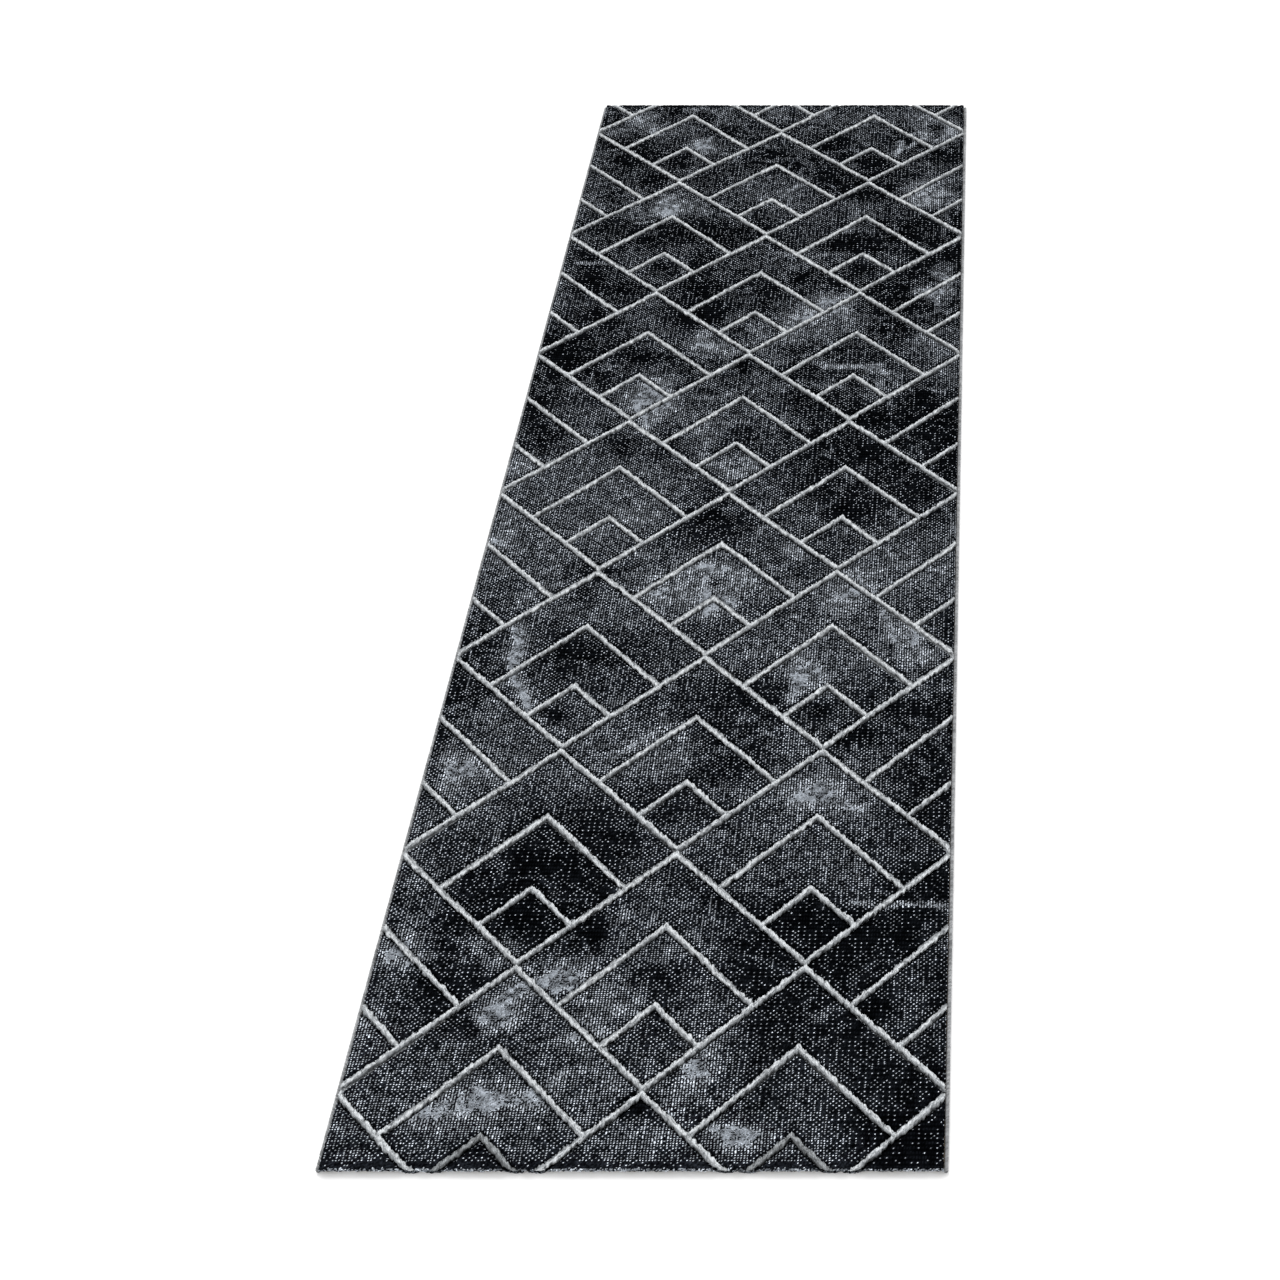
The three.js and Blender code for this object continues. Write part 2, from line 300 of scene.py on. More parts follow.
@dataclass(frozen=True)
class MarbleFinish:
    """Three yarns of one cut pile: black ground, light flecks and mid grey clouds.

    Attributes:
        name: Material name.
        black: Colour of the ground yarn.
        fleck: Colour of the light yarn.
        cloud: Colour of the mid grey yarn.
        fibre: Size of one twist of the yarn.
        tip: Size of one opened yarn tip.
    """

    name: str
    black: tuple[float, float, float]
    fleck: tuple[float, float, float]
    cloud: tuple[float, float, float]
    fibre: float = 0.9 * MM
    tip: float = 1.7 * MM

    def material(self) -> bpy.types.Material:
        """Builds the material.

        Returns:
            The finished material.
        """
        board = NodeBoard(self.name)
        parts = board.attribute(YARN)
        twist = board.noise(self.fibre, 3)
        clouds = board.ragged(parts.outputs["Blue"], twist, 0.3)
        flecks = board.ragged(parts.outputs["Red"], twist, 0.3)
        ground = board.mix(board.spread(clouds, 0.5, 0.8, (0, 1)), (*self.black, 1), (*self.cloud, 1))
        tuft = board.mix(board.spread(flecks, 0.62, 0.85, (0, 1)), ground, (*self.fleck, 1))
        tips = board.noise(self.tip, 2)
        strands = board.spread(tips, 0.32, 0.68, (0.45, 1.5))
        # Green holds each tuft's own brightness times a painted shade in the grooves beside the lines and at
        # the tufts' feet.
        shaded = board.mix(1.0, tuft, parts.outputs["Green"], "MULTIPLY")
        colour = board.mix(1.0, shaded, strands, "MULTIPLY")
        board.coat(colour, Roughness=0.95, Specular_IOR_Level=0.0)
        board.bump(twist, 0.4 * MM)
        return board.material


@dataclass(frozen=True)
class PileFinish:
    """Pile yarn whose tone and painted shade, by depth, are held on the tufts.

    Attributes:
        name: Material name.
        dark: Colour of the darkest tuft.
        light: Colour of the lightest tuft.
        root: Share of the colour left at the foot of a tuft, a painted shade.
        roughness: Shader roughness.
        sheen: Soft sheen of the fibre ends.
        gloss: Specular level.
        fibre: Size of one twist of the yarn.
    """

    name: str
    dark: tuple[float, float, float]
    light: tuple[float, float, float]
    root: float
    roughness: float
    sheen: float
    gloss: float
    fibre: float = 0.9 * MM

    def material(self) -> bpy.types.Material:
        """Builds the material.

        Returns:
            The finished material.
        """
        board = NodeBoard(self.name)
        parts = board.attribute(YARN)
        tuft = board.mix(parts.outputs["Red"], (*self.dark, 1), (*self.light, 1))
        # Painted shade: the colour falls to the root share as the Green channel goes from tip to foot.
        foot = board.spread(parts.outputs["Green"], 0, 1, (1, self.root))
        tuft_with_painted_shade = board.mix(1.0, tuft, foot, "MULTIPLY")
        twist = board.noise(self.fibre, 3)
        strands = board.spread(twist, 0.3, 0.7, (0.72, 1.22))
        colour = board.mix(1.0, tuft_with_painted_shade, strands, "MULTIPLY")
        board.coat(colour, Roughness=self.roughness, Sheen_Weight=self.sheen, Specular_IOR_Level=self.gloss)
        board.bump(twist, 0.5 * MM)
        return board.material


@dataclass(frozen=True)
class ThreadFinish:
    """Spun thread or cloth in two shades.

    Attributes:
        name: Material name.
        first: Main colour.
        second: Colour of the other strands.
        strand: Width of one strand.
        along: Squeeze of the strand pattern along X, Y and Z.
        roughness: Shader roughness.
        relief: Depth of the bump.
        sheen: Soft sheen.
    """

    name: str
    first: tuple[float, float, float]
    second: tuple[float, float, float]
    strand: float
    along: tuple[float, float, float]
    roughness: float
    relief: float
    sheen: float = 0.1

    def material(self) -> bpy.types.Material:
        """Builds the material.

        Returns:
            The finished material.
        """
        board = NodeBoard(self.name)
        strands = board.noise(self.strand, 3, self.along)
        patches = board.noise(25 * MM, 2)
        shade = board.spread(strands, 0.35, 0.65, (0, 1))
        thread = board.mix(shade, (*self.first, 1), (*self.second, 1))
        worn = board.spread(patches, 0.3, 0.7, (0.85, 1.1))
        colour = board.mix(1.0, thread, worn, "MULTIPLY")
        board.coat(colour, Roughness=self.roughness, Sheen_Weight=self.sheen)
        board.bump(strands, self.relief)
        return board.material


@dataclass(frozen=True)
class RibbedCloth:
    """Ground weave: jute weft ribs across the rug, tied by finer cotton warps.

    Attributes:
        name: Material name.
        weft: Colour of the ribs.
        warp: Colour of the ties.
        rib: Distance between ribs.
        tie: Distance between ties.
    """

    name: str
    weft: tuple[float, float, float]
    warp: tuple[float, float, float]
    rib: float
    tie: float

    def material(self) -> bpy.types.Material:
        """Builds the material.

        Returns:
            The finished material.
        """
        board = NodeBoard(self.name)
        place = board.place()
        ribs = board.add(
            "ShaderNodeTexWave",
            {"wave_type": "BANDS", "bands_direction": "Y", "wave_profile": "SIN"},
            Vector=place,
            Scale=math.pi / 10 / self.rib,
            Distortion=0.4,
        )
        ties = board.add(
            "ShaderNodeTexWave",
            {"wave_type": "BANDS", "bands_direction": "X", "wave_profile": "SIN"},
            Vector=place,
            Scale=math.pi / 10 / self.tie,
            Distortion=0.6,
        )
        tied = board.spread(ties.outputs["Fac"], 0.72, 0.95, (0, 1))
        fibre = board.noise(0.8 * MM, 4, (0.3, 1, 1))
        shade = board.spread(fibre, 0.35, 0.65, (0, 1))
        darker = tuple(0.72 * channel for channel in self.weft)
        body = board.mix(shade, (*self.weft, 1), (*darker, 1))
        cloth = board.mix(tied, body, (*self.warp, 1))
        # Painted shade in the valleys between the ribs.
        painted_rib_shade = board.spread(ribs.outputs["Fac"], 0, 0.5, (0.45, 1))
        board.coat(board.mix(1.0, cloth, painted_rib_shade, "MULTIPLY"), Roughness=0.92, Sheen_Weight=0.08)
        board.bump(ribs.outputs["Fac"], 0.5 * MM)
        return board.material


@dataclass(frozen=True)
class FilmFinish:
    """Brushed-on sizing or melted adhesive film.

    Attributes:
        name: Material name.
        thick: Colour where the film is thick.
        thin: Colour where the cloth shows through.
        roughness: Shader roughness.
        clear: Coat weight.
    """

    name: str
    thick: tuple[float, float, float]
    thin: tuple[float, float, float]
    roughness: float
    clear: float

    def material(self) -> bpy.types.Material:
        """Builds the material.

        Returns:
            The finished material.
        """
        board = NodeBoard(self.name)
        strokes = board.noise(9 * MM, 4, (1, 0.25, 1))
        grain = board.noise(1.4 * MM, 3)
        cover = board.spread(strokes, 0.35, 0.62, (0, 1))
        film = board.mix(cover, (*self.thin, 1), (*self.thick, 1))
        speck = board.spread(grain, 0.3, 0.7, (0.85, 1.1))
        colour = board.mix(1.0, film, speck, "MULTIPLY")
        board.coat(colour, Roughness=self.roughness, Coat_Weight=self.clear)
        board.bump(grain, 0.15 * MM)
        return board.material


@dataclass(frozen=True)
class Lattice:
    """The diamond lattice of silver lines, with two chevrons in every diamond.

    Attributes:
        across: Distance between crossings across the rug.
        along: Distance between crossings along the rug.
        first: Y of the crossing on the centre line nearest to the near end.
        thickness: Thickness of a line.
        parting: Half the distance by which the upper and lower lines part at a crossing.
    """

    across: float
    along: float
    first: float
    thickness: float
    parting: float

    @property
    def slope(self) -> float:
        """Rise of a line for each unit across."""
        return self.along / self.across

    @property
    def squareness(self) -> float:
        """Distance square to a line for each unit of distance along Y."""
        return 1 / math.hypot(1, self.slope)

    def row_y(self, row: int) -> float:
        """Y of a row of crossings, counted in half repeats."""
        return self.first + 0.5 * row * self.along

    def zigzag(self, x: np.ndarray, row: Any) -> np.ndarray:
        """Y of the line that zigzags between one row of crossings and the next.

        Args:
            x: Places across the rug.
            row: The lower row of crossings.

        Returns:
            Y of the line's middle.
        """
        wave = 2 * np.abs(x / self.across - np.round(x / self.across))
        climb = np.where(np.asarray(row) % 2 == 0, wave, 1 - wave)
        base = self.first + 0.5 * np.asarray(row) * self.along + self.parting
        return base + (0.5 * self.along - 2 * self.parting) * climb

    def distance(self, x: np.ndarray, y: np.ndarray) -> np.ndarray:
        """Distance from the middle of the nearest line.

        Args:
            x: Places across the rug.
            y: Places along the rug.

        Returns:
            Distance square to the line.
        """
        row = np.floor((y - self.first) / (0.5 * self.along))
        nearest = np.full_like(x, self.along)
        for step in (-1, 0, 1):
            nearest = np.minimum(nearest, np.abs(y - self.zigzag(x, row + step)))
        for shift in (0.0, 0.5):
            column = (np.round(x / self.across - shift) + shift) * self.across
            off = np.abs(x - column)
            for kind in Chevron:
                rise = y - self.first - shift * self.along + kind.drop * self.along + self.slope * off
                rise -= self.along * np.round(rise / self.along)
                inside = off <= kind.reach * self.across
                nearest = np.where(inside, np.minimum(nearest, np.abs(rise)), nearest)
        return nearest * self.squareness


class Chevron(Enum):
    """The two chevrons that hang in a diamond: drop from its top, and reach to each side."""

    WIDE = (1 / 3, 1 / 3)
    NARROW = (2 / 3, 1 / 6)

    @property
    def drop(self) -> float:
        """Share of the diamond's height between its top and the chevron."""
        return self.value[0]

    @property
    def reach(self) -> float:
        """Share of the diamond's width that one leg spans."""
        return self.value[1]


@dataclass(frozen=True)
class Cloud:
    """One cloud of grey tufts in the marbling, in millimetres.

    Attributes:
        x: Its middle across the rug.
        y: Its middle along the rug.
        reach_x: Its reach across the rug.
        reach_y: Its reach along the rug.
        weight: Share of grey tufts that it adds, or takes away where it is below 0.
        hollow: Reach of its darker middle, as a share of its own.
    """

    x: float
    y: float
    reach_x: float
    reach_y: float
    weight: float
    hollow: float = 0.0


@dataclass(frozen=True)
class Vein:
    """One thin streak of grey tufts in the marbling, in millimetres.

    Attributes:
        x: Its start across the rug.
        y: Its start along the rug.
        to_x: Its end across the rug.
        to_y: Its end along the rug.
        width: Half its width.
        weight: Share of grey tufts that it adds.
    """

    x: float
    y: float
    to_x: float
    to_y: float
    width: float
    weight: float


CLOUDS = (
    Cloud(-312, 1195, 26, 22, 0.35, 0.5),
    Cloud(-278, 1150, 26, 20, 0.35),
    Cloud(-170, 1088, 24, 24, 0.85),
    Cloud(335, 1158, 34, 36, 0.36, 0.8),
    Cloud(-203, 848, 46, 32, 1.0),
    Cloud(-215, 885, 26, 26, 0.3),
    Cloud(318, 892, 38, 34, 0.45, 0.4),
    Cloud(145, 530, 36, 34, 0.75),
    Cloud(190, 480, 36, 30, 0.15),
    Cloud(110, 285, 80, 24, 0.18),
    Cloud(100, 500, 30, 30, 0.5),
    Cloud(70, 440, 26, 30, 0.4),
    Cloud(135, 450, 26, 26, 0.12),
    Cloud(335, 570, 32, 28, 0.9),
    Cloud(-37, 437, 50, 44, 0.18, 0.9),
    Cloud(-90, 402, 26, 24, 0.5),
    Cloud(-175, 248, 46, 52, 1.25),
    Cloud(-145, 303, 20, 18, 0.4),
    Cloud(0, 70, 36, 28, 0.2, 0.5),
    Cloud(-372, 70, 22, 24, 0.4),
    Cloud(-375, -60, 22, 30, 0.3),
    Cloud(-150, -60, 60, 34, 0.16),
    Cloud(-380, -120, 18, 26, 0.35),
    Cloud(-10, -225, 62, 56, 0.3, 0.5),
    Cloud(10, -265, 30, 24, 0.5),
    Cloud(-95, -245, 30, 26, 0.3),
    Cloud(225, -225, 32, 36, 0.6),
    Cloud(200, -268, 28, 26, 0.3),
    Cloud(315, -335, 32, 30, 0.6),
    Cloud(157, -418, 28, 30, 1.25),
    Cloud(-33, -562, 40, 36, 0.1, 0.6),
    Cloud(-335, -617, 46, 34, 0.6),
    Cloud(185, -650, 36, 24, 1.2),
    Cloud(150, -630, 30, 16, 0.3),
    Cloud(-360, -930, 38, 32, 0.9),
    Cloud(-145, -975, 56, 32, 0.72),
    Cloud(-205, -1022, 40, 36, 0.62),
    Cloud(-85, -1060, 26, 30, 0.5),
    Cloud(-370, -1040, 20, 26, 0.3),
    Cloud(-45, -1015, 28, 22, 0.35),
    Cloud(75, -1105, 30, 36, 0.6),
    Cloud(0, -1175, 52, 44, 0.1, 0.9),
    Cloud(135, -1205, 40, 20, 0.7),
    Cloud(350, 440, 60, 90, 0.18),
    Cloud(-240, -930, 50, 40, 0.2),
    Cloud(-110, -1000, 40, 30, 0.2),
    Cloud(170, -460, 50, 40, 0.12),
    Cloud(10, 150, 50, 50, -0.08),
    Cloud(-10, 95, 40, 30, -0.12),
    Cloud(-340, -1150, 50, 40, -0.06),
    Cloud(-200, -190, 60, 50, -0.12),
    Cloud(-340, -740, 40, 50, -0.08),
    Cloud(0, -1050, 60, 150, -0.08),
    Cloud(380, -990, 40, 60, -0.08),
    Cloud(340, -270, 50, 40, 0.15),
    Cloud(60, -660, 60, 40, 0.08),
    Cloud(-10, -490, 60, 30, 0.06),
    Cloud(-350, -240, 40, 40, -0.06),
    Cloud(250, 290, 90, 60, 0.13),
    Cloud(340, -390, 46, 70, 0.3),
    Cloud(200, -220, 60, 60, 0.12),
    Cloud(-300, -400, 46, 90, 0.16),
    Cloud(250, -620, 70, 50, 0.08),
    Cloud(-253, 953, 40, 34, -0.14),
    Cloud(0, 1150, 200, 80, -0.05),
    Cloud(-340, 670, 50, 40, -0.12),
    Cloud(-250, 740, 60, 50, -0.08),
    Cloud(-20, 1020, 120, 60, -0.08),
    Cloud(-345, 1140, 40, 26, 0.25),
    Cloud(-190, 1225, 40, 16, 0.3),
    Cloud(-350, 140, 60, 50, -0.12),
    Cloud(270, 1130, 60, 60, -0.12),
    Cloud(360, 590, 46, 90, 0.22),
    Cloud(360, 830, 40, 60, 0.06),
    Cloud(-340, 790, 60, 60, -0.08),
    Cloud(-255, 575, 80, 50, -0.08),
    Cloud(-330, 1000, 60, 60, -0.06),
    Cloud(240, 760, 100, 60, -0.12),
    Cloud(60, 1040, 70, 60, -0.06),
    Cloud(-100, 640, 60, 50, -0.03),
    Cloud(-80, 490, 80, 44, -0.2),
    Cloud(110, 1100, 46, 34, -0.14),
    Cloud(-203, 1028, 24, 24, -0.14),
    Cloud(197, 1020, 28, 24, -0.12),
    Cloud(-3, 1070, 34, 30, -0.1),
    Cloud(-320, 887, 34, 40, -0.1),
    Cloud(190, 722, 80, 28, -0.16),
    Cloud(205, 645, 26, 24, -0.14),
    Cloud(-203, 653, 26, 24, -0.13),
    Cloud(-337, 600, 40, 46, -0.13),
    Cloud(80, 620, 34, 30, -0.12),
    Cloud(-187, 365, 44, 22, -0.1),
    Cloud(-290, 335, 34, 26, -0.1),
    Cloud(-12, 337, 22, 22, -0.2),
    Cloud(-370, 230, 30, 70, -0.12),
    Cloud(247, 105, 34, 34, -0.15),
    Cloud(-203, 120, 34, 30, -0.1),
    Cloud(330, 270, 30, 40, -0.08),
    Cloud(205, -45, 46, 30, -0.13),
    Cloud(-25, -50, 40, 26, -0.1),
    Cloud(-217, -252, 34, 28, -0.1),
    Cloud(-195, -390, 50, 30, -0.07),
    Cloud(-217, -500, 30, 24, -0.12),
    Cloud(192, -500, 24, 24, -0.12),
    Cloud(240, -550, 34, 26, -0.15),
    Cloud(-205, -792, 60, 26, -0.09),
    Cloud(-208, -867, 28, 22, -0.14),
    Cloud(-100, -900, 34, 30, -0.12),
    Cloud(183, -867, 30, 24, -0.12),
    Cloud(260, -890, 40, 34, -0.12),
    Cloud(335, -925, 36, 34, -0.1),
    Cloud(0, -960, 46, 24, -0.1),
    Cloud(300, -1010, 34, 30, -0.08),
    Cloud(-10, -1172, 22, 20, -0.3),
    Cloud(335, -1200, 50, 40, -0.15),
    Cloud(-200, -1225, 50, 22, -0.12),
)

VEINS = (
    Vein(-160, 1110, -175, 1050, 6, 0.3),
    Vein(262, 1110, 250, 1050, 6, 0.4),
    Vein(310, 1120, 255, 1068, 5, 0.35),
    Vein(-110, 1058, -85, 1046, 5, 0.3),
    Vein(-370, 668, -310, 662, 5, 0.4),
    Vein(30, 915, 80, 955, 6, 0.4),
    Vein(80, 470, 180, 556, 14, 0.3),
    Vein(140, 337, 250, 345, 6, 0.4),
    Vein(235, 340, 262, 320, 8, 0.5),
    Vein(-170, 210, -172, 178, 8, 0.4),
    Vein(105, -140, 140, -165, 6, 0.4),
    Vein(-60, -190, 20, -185, 7, 0.35),
    Vein(-17, -180, -10, -285, 7, 0.35),
    Vein(265, -245, 300, -350, 7, 0.5),
    Vein(-310, -325, -305, -380, 10, 0.8),
    Vein(-305, -380, -262, -490, 8, 0.7),
    Vein(148, -415, 142, -475, 7, 0.45),
    Vein(-118, -590, -70, -545, 6, 0.35),
    Vein(200, -655, 262, -690, 8, 0.35),
    Vein(260, -845, 392, -852, 5, 0.42),
    Vein(-190, -985, -230, -1030, 9, 0.35),
    Vein(-283, -1178, -210, -1155, 18, 0.4),
    Vein(-210, -1155, -133, -1150, 16, 0.4),
    Vein(-150, -1140, -105, -1115, 7, 0.3),
    Vein(90, -1190, 150, -1205, 6, 0.4),
)


@dataclass(frozen=True)
class Marble:
    """The marbling of the dark pile: what share of the tufts is grey at each place.

    Attributes:
        ground: Least share of grey tufts.
        swing: How much the share drifts between the clouds.
        far_fade: How much lower the share is towards the far end.
        warp: How far the clouds are pulled out of shape.
        warp_size: Distance between the pulls.
        swirl: How far their wisps are pulled out of shape.
        swirl_size: Distance between those pulls.
        drift_size: Distance between the broad light and dark areas.
        wisp: Share that the long wisps between the clouds add.
        wisp_size: Distance between them.
        curl_size: Distance between the curls inside a cloud.
    """

    ground: float = 0.071
    swing: float = 0.12
    far_fade: float = 0.05
    warp: float = 13 * MM
    warp_size: float = 60 * MM
    swirl: float = 11 * MM
    swirl_size: float = 24 * MM
    drift_size: float = 190 * MM
    wisp: float = 0.09
    wisp_size: float = 110 * MM
    curl_size: float = 42 * MM

    def share(self, x: np.ndarray, y: np.ndarray) -> np.ndarray:
        """Share of grey tufts.

        Args:
            x: Places across the rug.
            y: Places along the rug.

        Returns:
            Values from 0 to 1.
        """
        bent_x = x + self.warp * 2 * (cloudy(x, y, self.warp_size, 3, Grain.WARP_X) - 0.5)
        bent_y = y + self.warp * 2 * (cloudy(x, y, self.warp_size, 3, Grain.WARP_Y) - 0.5)
        drift = cloudy(bent_x, bent_y, self.drift_size, 3, Grain.DRIFT)
        share = self.ground + self.swing * smooth_step(drift, 0.32, 0.72)
        share -= self.far_fade * smooth_step(y, -0.2, 0.6)
        wisps = 1 - 2 * np.abs(cloudy(bent_x, bent_y, self.wisp_size, 4, Grain.WISP) - 0.5)
        share += self.wisp * smooth_step(wisps, 0.92, 1.0)
        swirl_x = bent_x + self.swirl * 2 * (cloudy(x, y, self.swirl_size, 3, Grain.SWIRL_X) - 0.5)
        swirl_y = bent_y + self.swirl * 2 * (cloudy(x, y, self.swirl_size, 3, Grain.SWIRL_Y) - 0.5)
        ridge = 1 - 2 * np.abs(cloudy(swirl_x, swirl_y, self.curl_size, 4, Grain.CURL) - 0.5)
        curl = 0.4 + 0.85 * smooth_step(ridge, 0.62, 0.98)
        for cloud in CLOUDS:
            off = np.hypot(
                (bent_x - cloud.x * MM) / (cloud.reach_x * MM), (bent_y - cloud.y * MM) / (cloud.reach_y * MM)
            )
            bell = np.exp(-(np.maximum(off - cloud.hollow, 0) ** 2) * 1.6)
            if cloud.hollow:
                bell *= 1 - 0.8 * smooth_step(cloud.hollow - off, 0, 0.45)
            share += cloud.weight * bell * (curl if cloud.weight > 0 else 1)
        for vein in VEINS:
            run_x = (vein.to_x - vein.x) * MM
            run_y = (vein.to_y - vein.y) * MM
            length = run_x**2 + run_y**2
            part = np.clip(((bent_x - vein.x * MM) * run_x + (bent_y - vein.y * MM) * run_y) / length, 0, 1)
            off = np.hypot(bent_x - vein.x * MM - part * run_x, bent_y - vein.y * MM - part * run_y)
            share += vein.weight * np.exp(-((off / (vein.width * MM)) ** 2))
        return np.clip(share, 0.02, 1)


@dataclass(frozen=True)
class PileShape:
    """Where the top of the pile lies, and how it rounds over the rug's edges.

    Attributes:
        half_width: Half the pile's width.
        half_length: Half the pile's length.
        top: Height of the pile in the middle of the rug.
        hem_lift: How much higher it stands over the folded hems.
        hem_start: Distance from the middle at which the rise starts.
        hem_end: Distance from the middle at which it ends.
        root: Height of the foot of the pile.
        side_round: Radius of the pile's edge along the long sides.
        end_round: Radius of its edge along the ends.
        side_skirt: Depth of the upright face under the long sides' rounding.
        end_skirt: Depth of the upright face under the ends' rounding.
    """

    half_width: float
    half_length: float
    top: float
    hem_lift: float
    hem_start: float
    hem_end: float
    root: float
    side_round: float = 3.2 * MM
    end_round: float = 4 * MM
    side_skirt: float = 1.6 * MM
    end_skirt: float = 3.0 * MM

    @property
    def reach_x(self) -> float:
        """Distance over the pile from its middle to its side's lower edge."""
        return self.half_width + (math.pi / 2 - 1) * self.side_round + self.side_skirt

    @property
    def reach_y(self) -> float:
        """Distance over the pile from its middle to its end's lower edge."""
        return self.half_length + (math.pi / 2 - 1) * self.end_round + self.end_skirt

    def lift(self, y: np.ndarray) -> np.ndarray:
        """Rise of the pile over the hems."""
        return self.hem_lift * smooth_step(np.abs(y), self.hem_start, self.hem_end)

    def place(
        self, over_x: np.ndarray, over_y: np.ndarray, height: np.ndarray, lift: np.ndarray
    ) -> np.ndarray:
        """Puts points given by their distances over the pile in the row frame.

        Args:
            over_x: Distance over the pile across the rug.
            over_y: Distance over the pile along the rug.
            height: Height of the surface where it is level.
            lift: Distance from the surface, outwards.

        Returns:
            One row of X, Y and Z for each point.
        """
        x, drop_x, lean_x = self._rounded(over_x, self.half_width, self.side_round)
        y, drop_y, lean_y = self._rounded(over_y, self.half_length, self.end_round)
        drop = np.maximum(drop_x, drop_y) + 0.3 * np.minimum(drop_x, drop_y)
        upright = np.sqrt(np.clip(1 - lean_x**2 - lean_y**2, 0, 1))
        return np.column_stack(
            (x + lean_x * lift, y + lean_y * lift, height + self.lift(y) - drop + upright * lift)
        )

    @staticmethod
    def _rounded(over: np.ndarray, half: float, radius: float) -> tuple[np.ndarray, np.ndarray, np.ndarray]:
        """Follows a level top, a rounded edge and a short upright side.

        Args:
            over: Distance over the surface from the middle.
            half: Half the size.
            radius: Radius of the edge.

        Returns:
            Place, drop below the top, and outward share of the surface's normal.
        """
        past = np.clip(np.abs(over) - (half - radius), 0, None)
        angle = np.minimum(past / radius, math.pi / 2)
        below = np.clip(past - radius * math.pi / 2, 0, None)
        place = np.minimum(np.abs(over), half - radius) + radius * np.sin(angle)
        drop = radius * (1 - np.cos(angle)) + below
        return np.sign(over) * place, drop, np.sign(over) * np.sin(angle)


def tufted_slab(name: str, columns: int, rows: int, poke: bool) -> bpy.types.Object:
    """A closed slab whose top is a grid, ready for its vertices to be placed as tufts.

    Args:
        name: The piece's name.
        columns: Tufts across.
        rows: Tufts along.
        poke: Whether each square of the grid rises to a tuft of its own.

    Returns:
        The slab, with its top grid in the unit square, and its foot one unit below.
    """
    deselect()
    bpy.ops.mesh.primitive_grid_add(
        x_subdivisions=columns, y_subdivisions=rows, size=1, location=(0.5, 0.5, 0)
    )
    slab = bpy.context.object
    slab.name = name
    slab.data.name = name
    bpy.ops.object.transform_apply(location=True, rotation=True, scale=True)
    bpy.ops.object.mode_set(mode="EDIT")
    bpy.ops.mesh.select_mode(type="EDGE")
    bpy.ops.mesh.select_all(action="SELECT")
    if poke:
        bpy.ops.mesh.poke(offset=0.0)
        bpy.ops.mesh.select_all(action="SELECT")
    bpy.ops.mesh.region_to_loop()
    bpy.ops.mesh.extrude_region_move(TRANSFORM_OT_translate={"value": (0, 0, -1)})
    bpy.ops.mesh.edge_face_add()
    bpy.ops.mesh.select_all(action="SELECT")
    bpy.ops.mesh.normals_make_consistent(inside=False)
    bpy.ops.object.mode_set(mode="OBJECT")
    bpy.ops.object.shade_smooth()
    return slab


def paint_yarn(
    piece: bpy.types.Object, tone: np.ndarray, depth: np.ndarray, third: np.ndarray | float = 0.0
) -> None:
    """Holds each tuft's yarn and painted shade on the mesh, for its finish to read.

    Args:
        piece: The pile.
        tone: 0 for the dark yarn and 1 for the light, for each vertex.
        depth: Painted shade of each tuft, from its depth; on the dark pile it is a multiplier that also holds
            the tuft's own brightness.
        third: 1 for the third yarn, where there is one.
    """
    layer = piece.data.color_attributes.new(name=YARN, type="FLOAT_COLOR", domain="POINT")
    colours = np.column_stack((tone, depth, np.broadcast_to(third, tone.shape), np.ones_like(tone)))
    layer.data.foreach_set("color", colours.ravel())


def fold_map(piece: bpy.types.Object, run: np.ndarray, side: np.ndarray, length: float, width: float) -> None:
    """Gives a long piece an even map: its length is cut into rows, one above another.

    Args:
        piece: The piece.
        run: Distance along the piece for each vertex, from 0 to length.
        side: Distance across the piece for each vertex, from 0 to width.
        length: The piece's length.
        width: The piece's width.
    """
    mesh = piece.data
    rows = max(1, round(math.sqrt(length / width)))
    layer = mesh.uv_layers.new(name=BAKE_MAP)
    corner = np.empty(len(mesh.loops), np.int64)
    mesh.loops.foreach_get("vertex_index", corner)
    total = np.empty(len(mesh.polygons), np.int64)
    mesh.polygons.foreach_get("loop_total", total)
    owner = np.repeat(np.arange(len(total)), total)
    middle = np.bincount(owner, run[corner]) / total
    band = np.minimum((middle / length * rows).astype(int), rows - 1)[owner]
    normal = np.empty(len(mesh.polygons) * 3)
    mesh.polygons.foreach_get("normal", normal)
    foot = ((normal.reshape(-1, 3)[:, 2] < -0.5) & (total > 4))[owner]
    u = (run[corner] / length * rows - band) * 0.98 + 0.01
    v = (band + 0.02 + 0.96 * side[corner] / width) / rows * 0.96
    u = np.where(foot, run[corner] / length, u)
    v = np.where(foot, 0.975 + 0.02 * side[corner] / width, v)
    layer.data.foreach_set("uv", np.column_stack((u, v)).ravel())


# The order in which a block of sixteen tufts turns light: every other column first.
WEAVE_ORDER = np.array([[0, 12, 3, 15], [4, 8, 7, 11], [2, 14, 1, 13], [6, 10, 5, 9]])


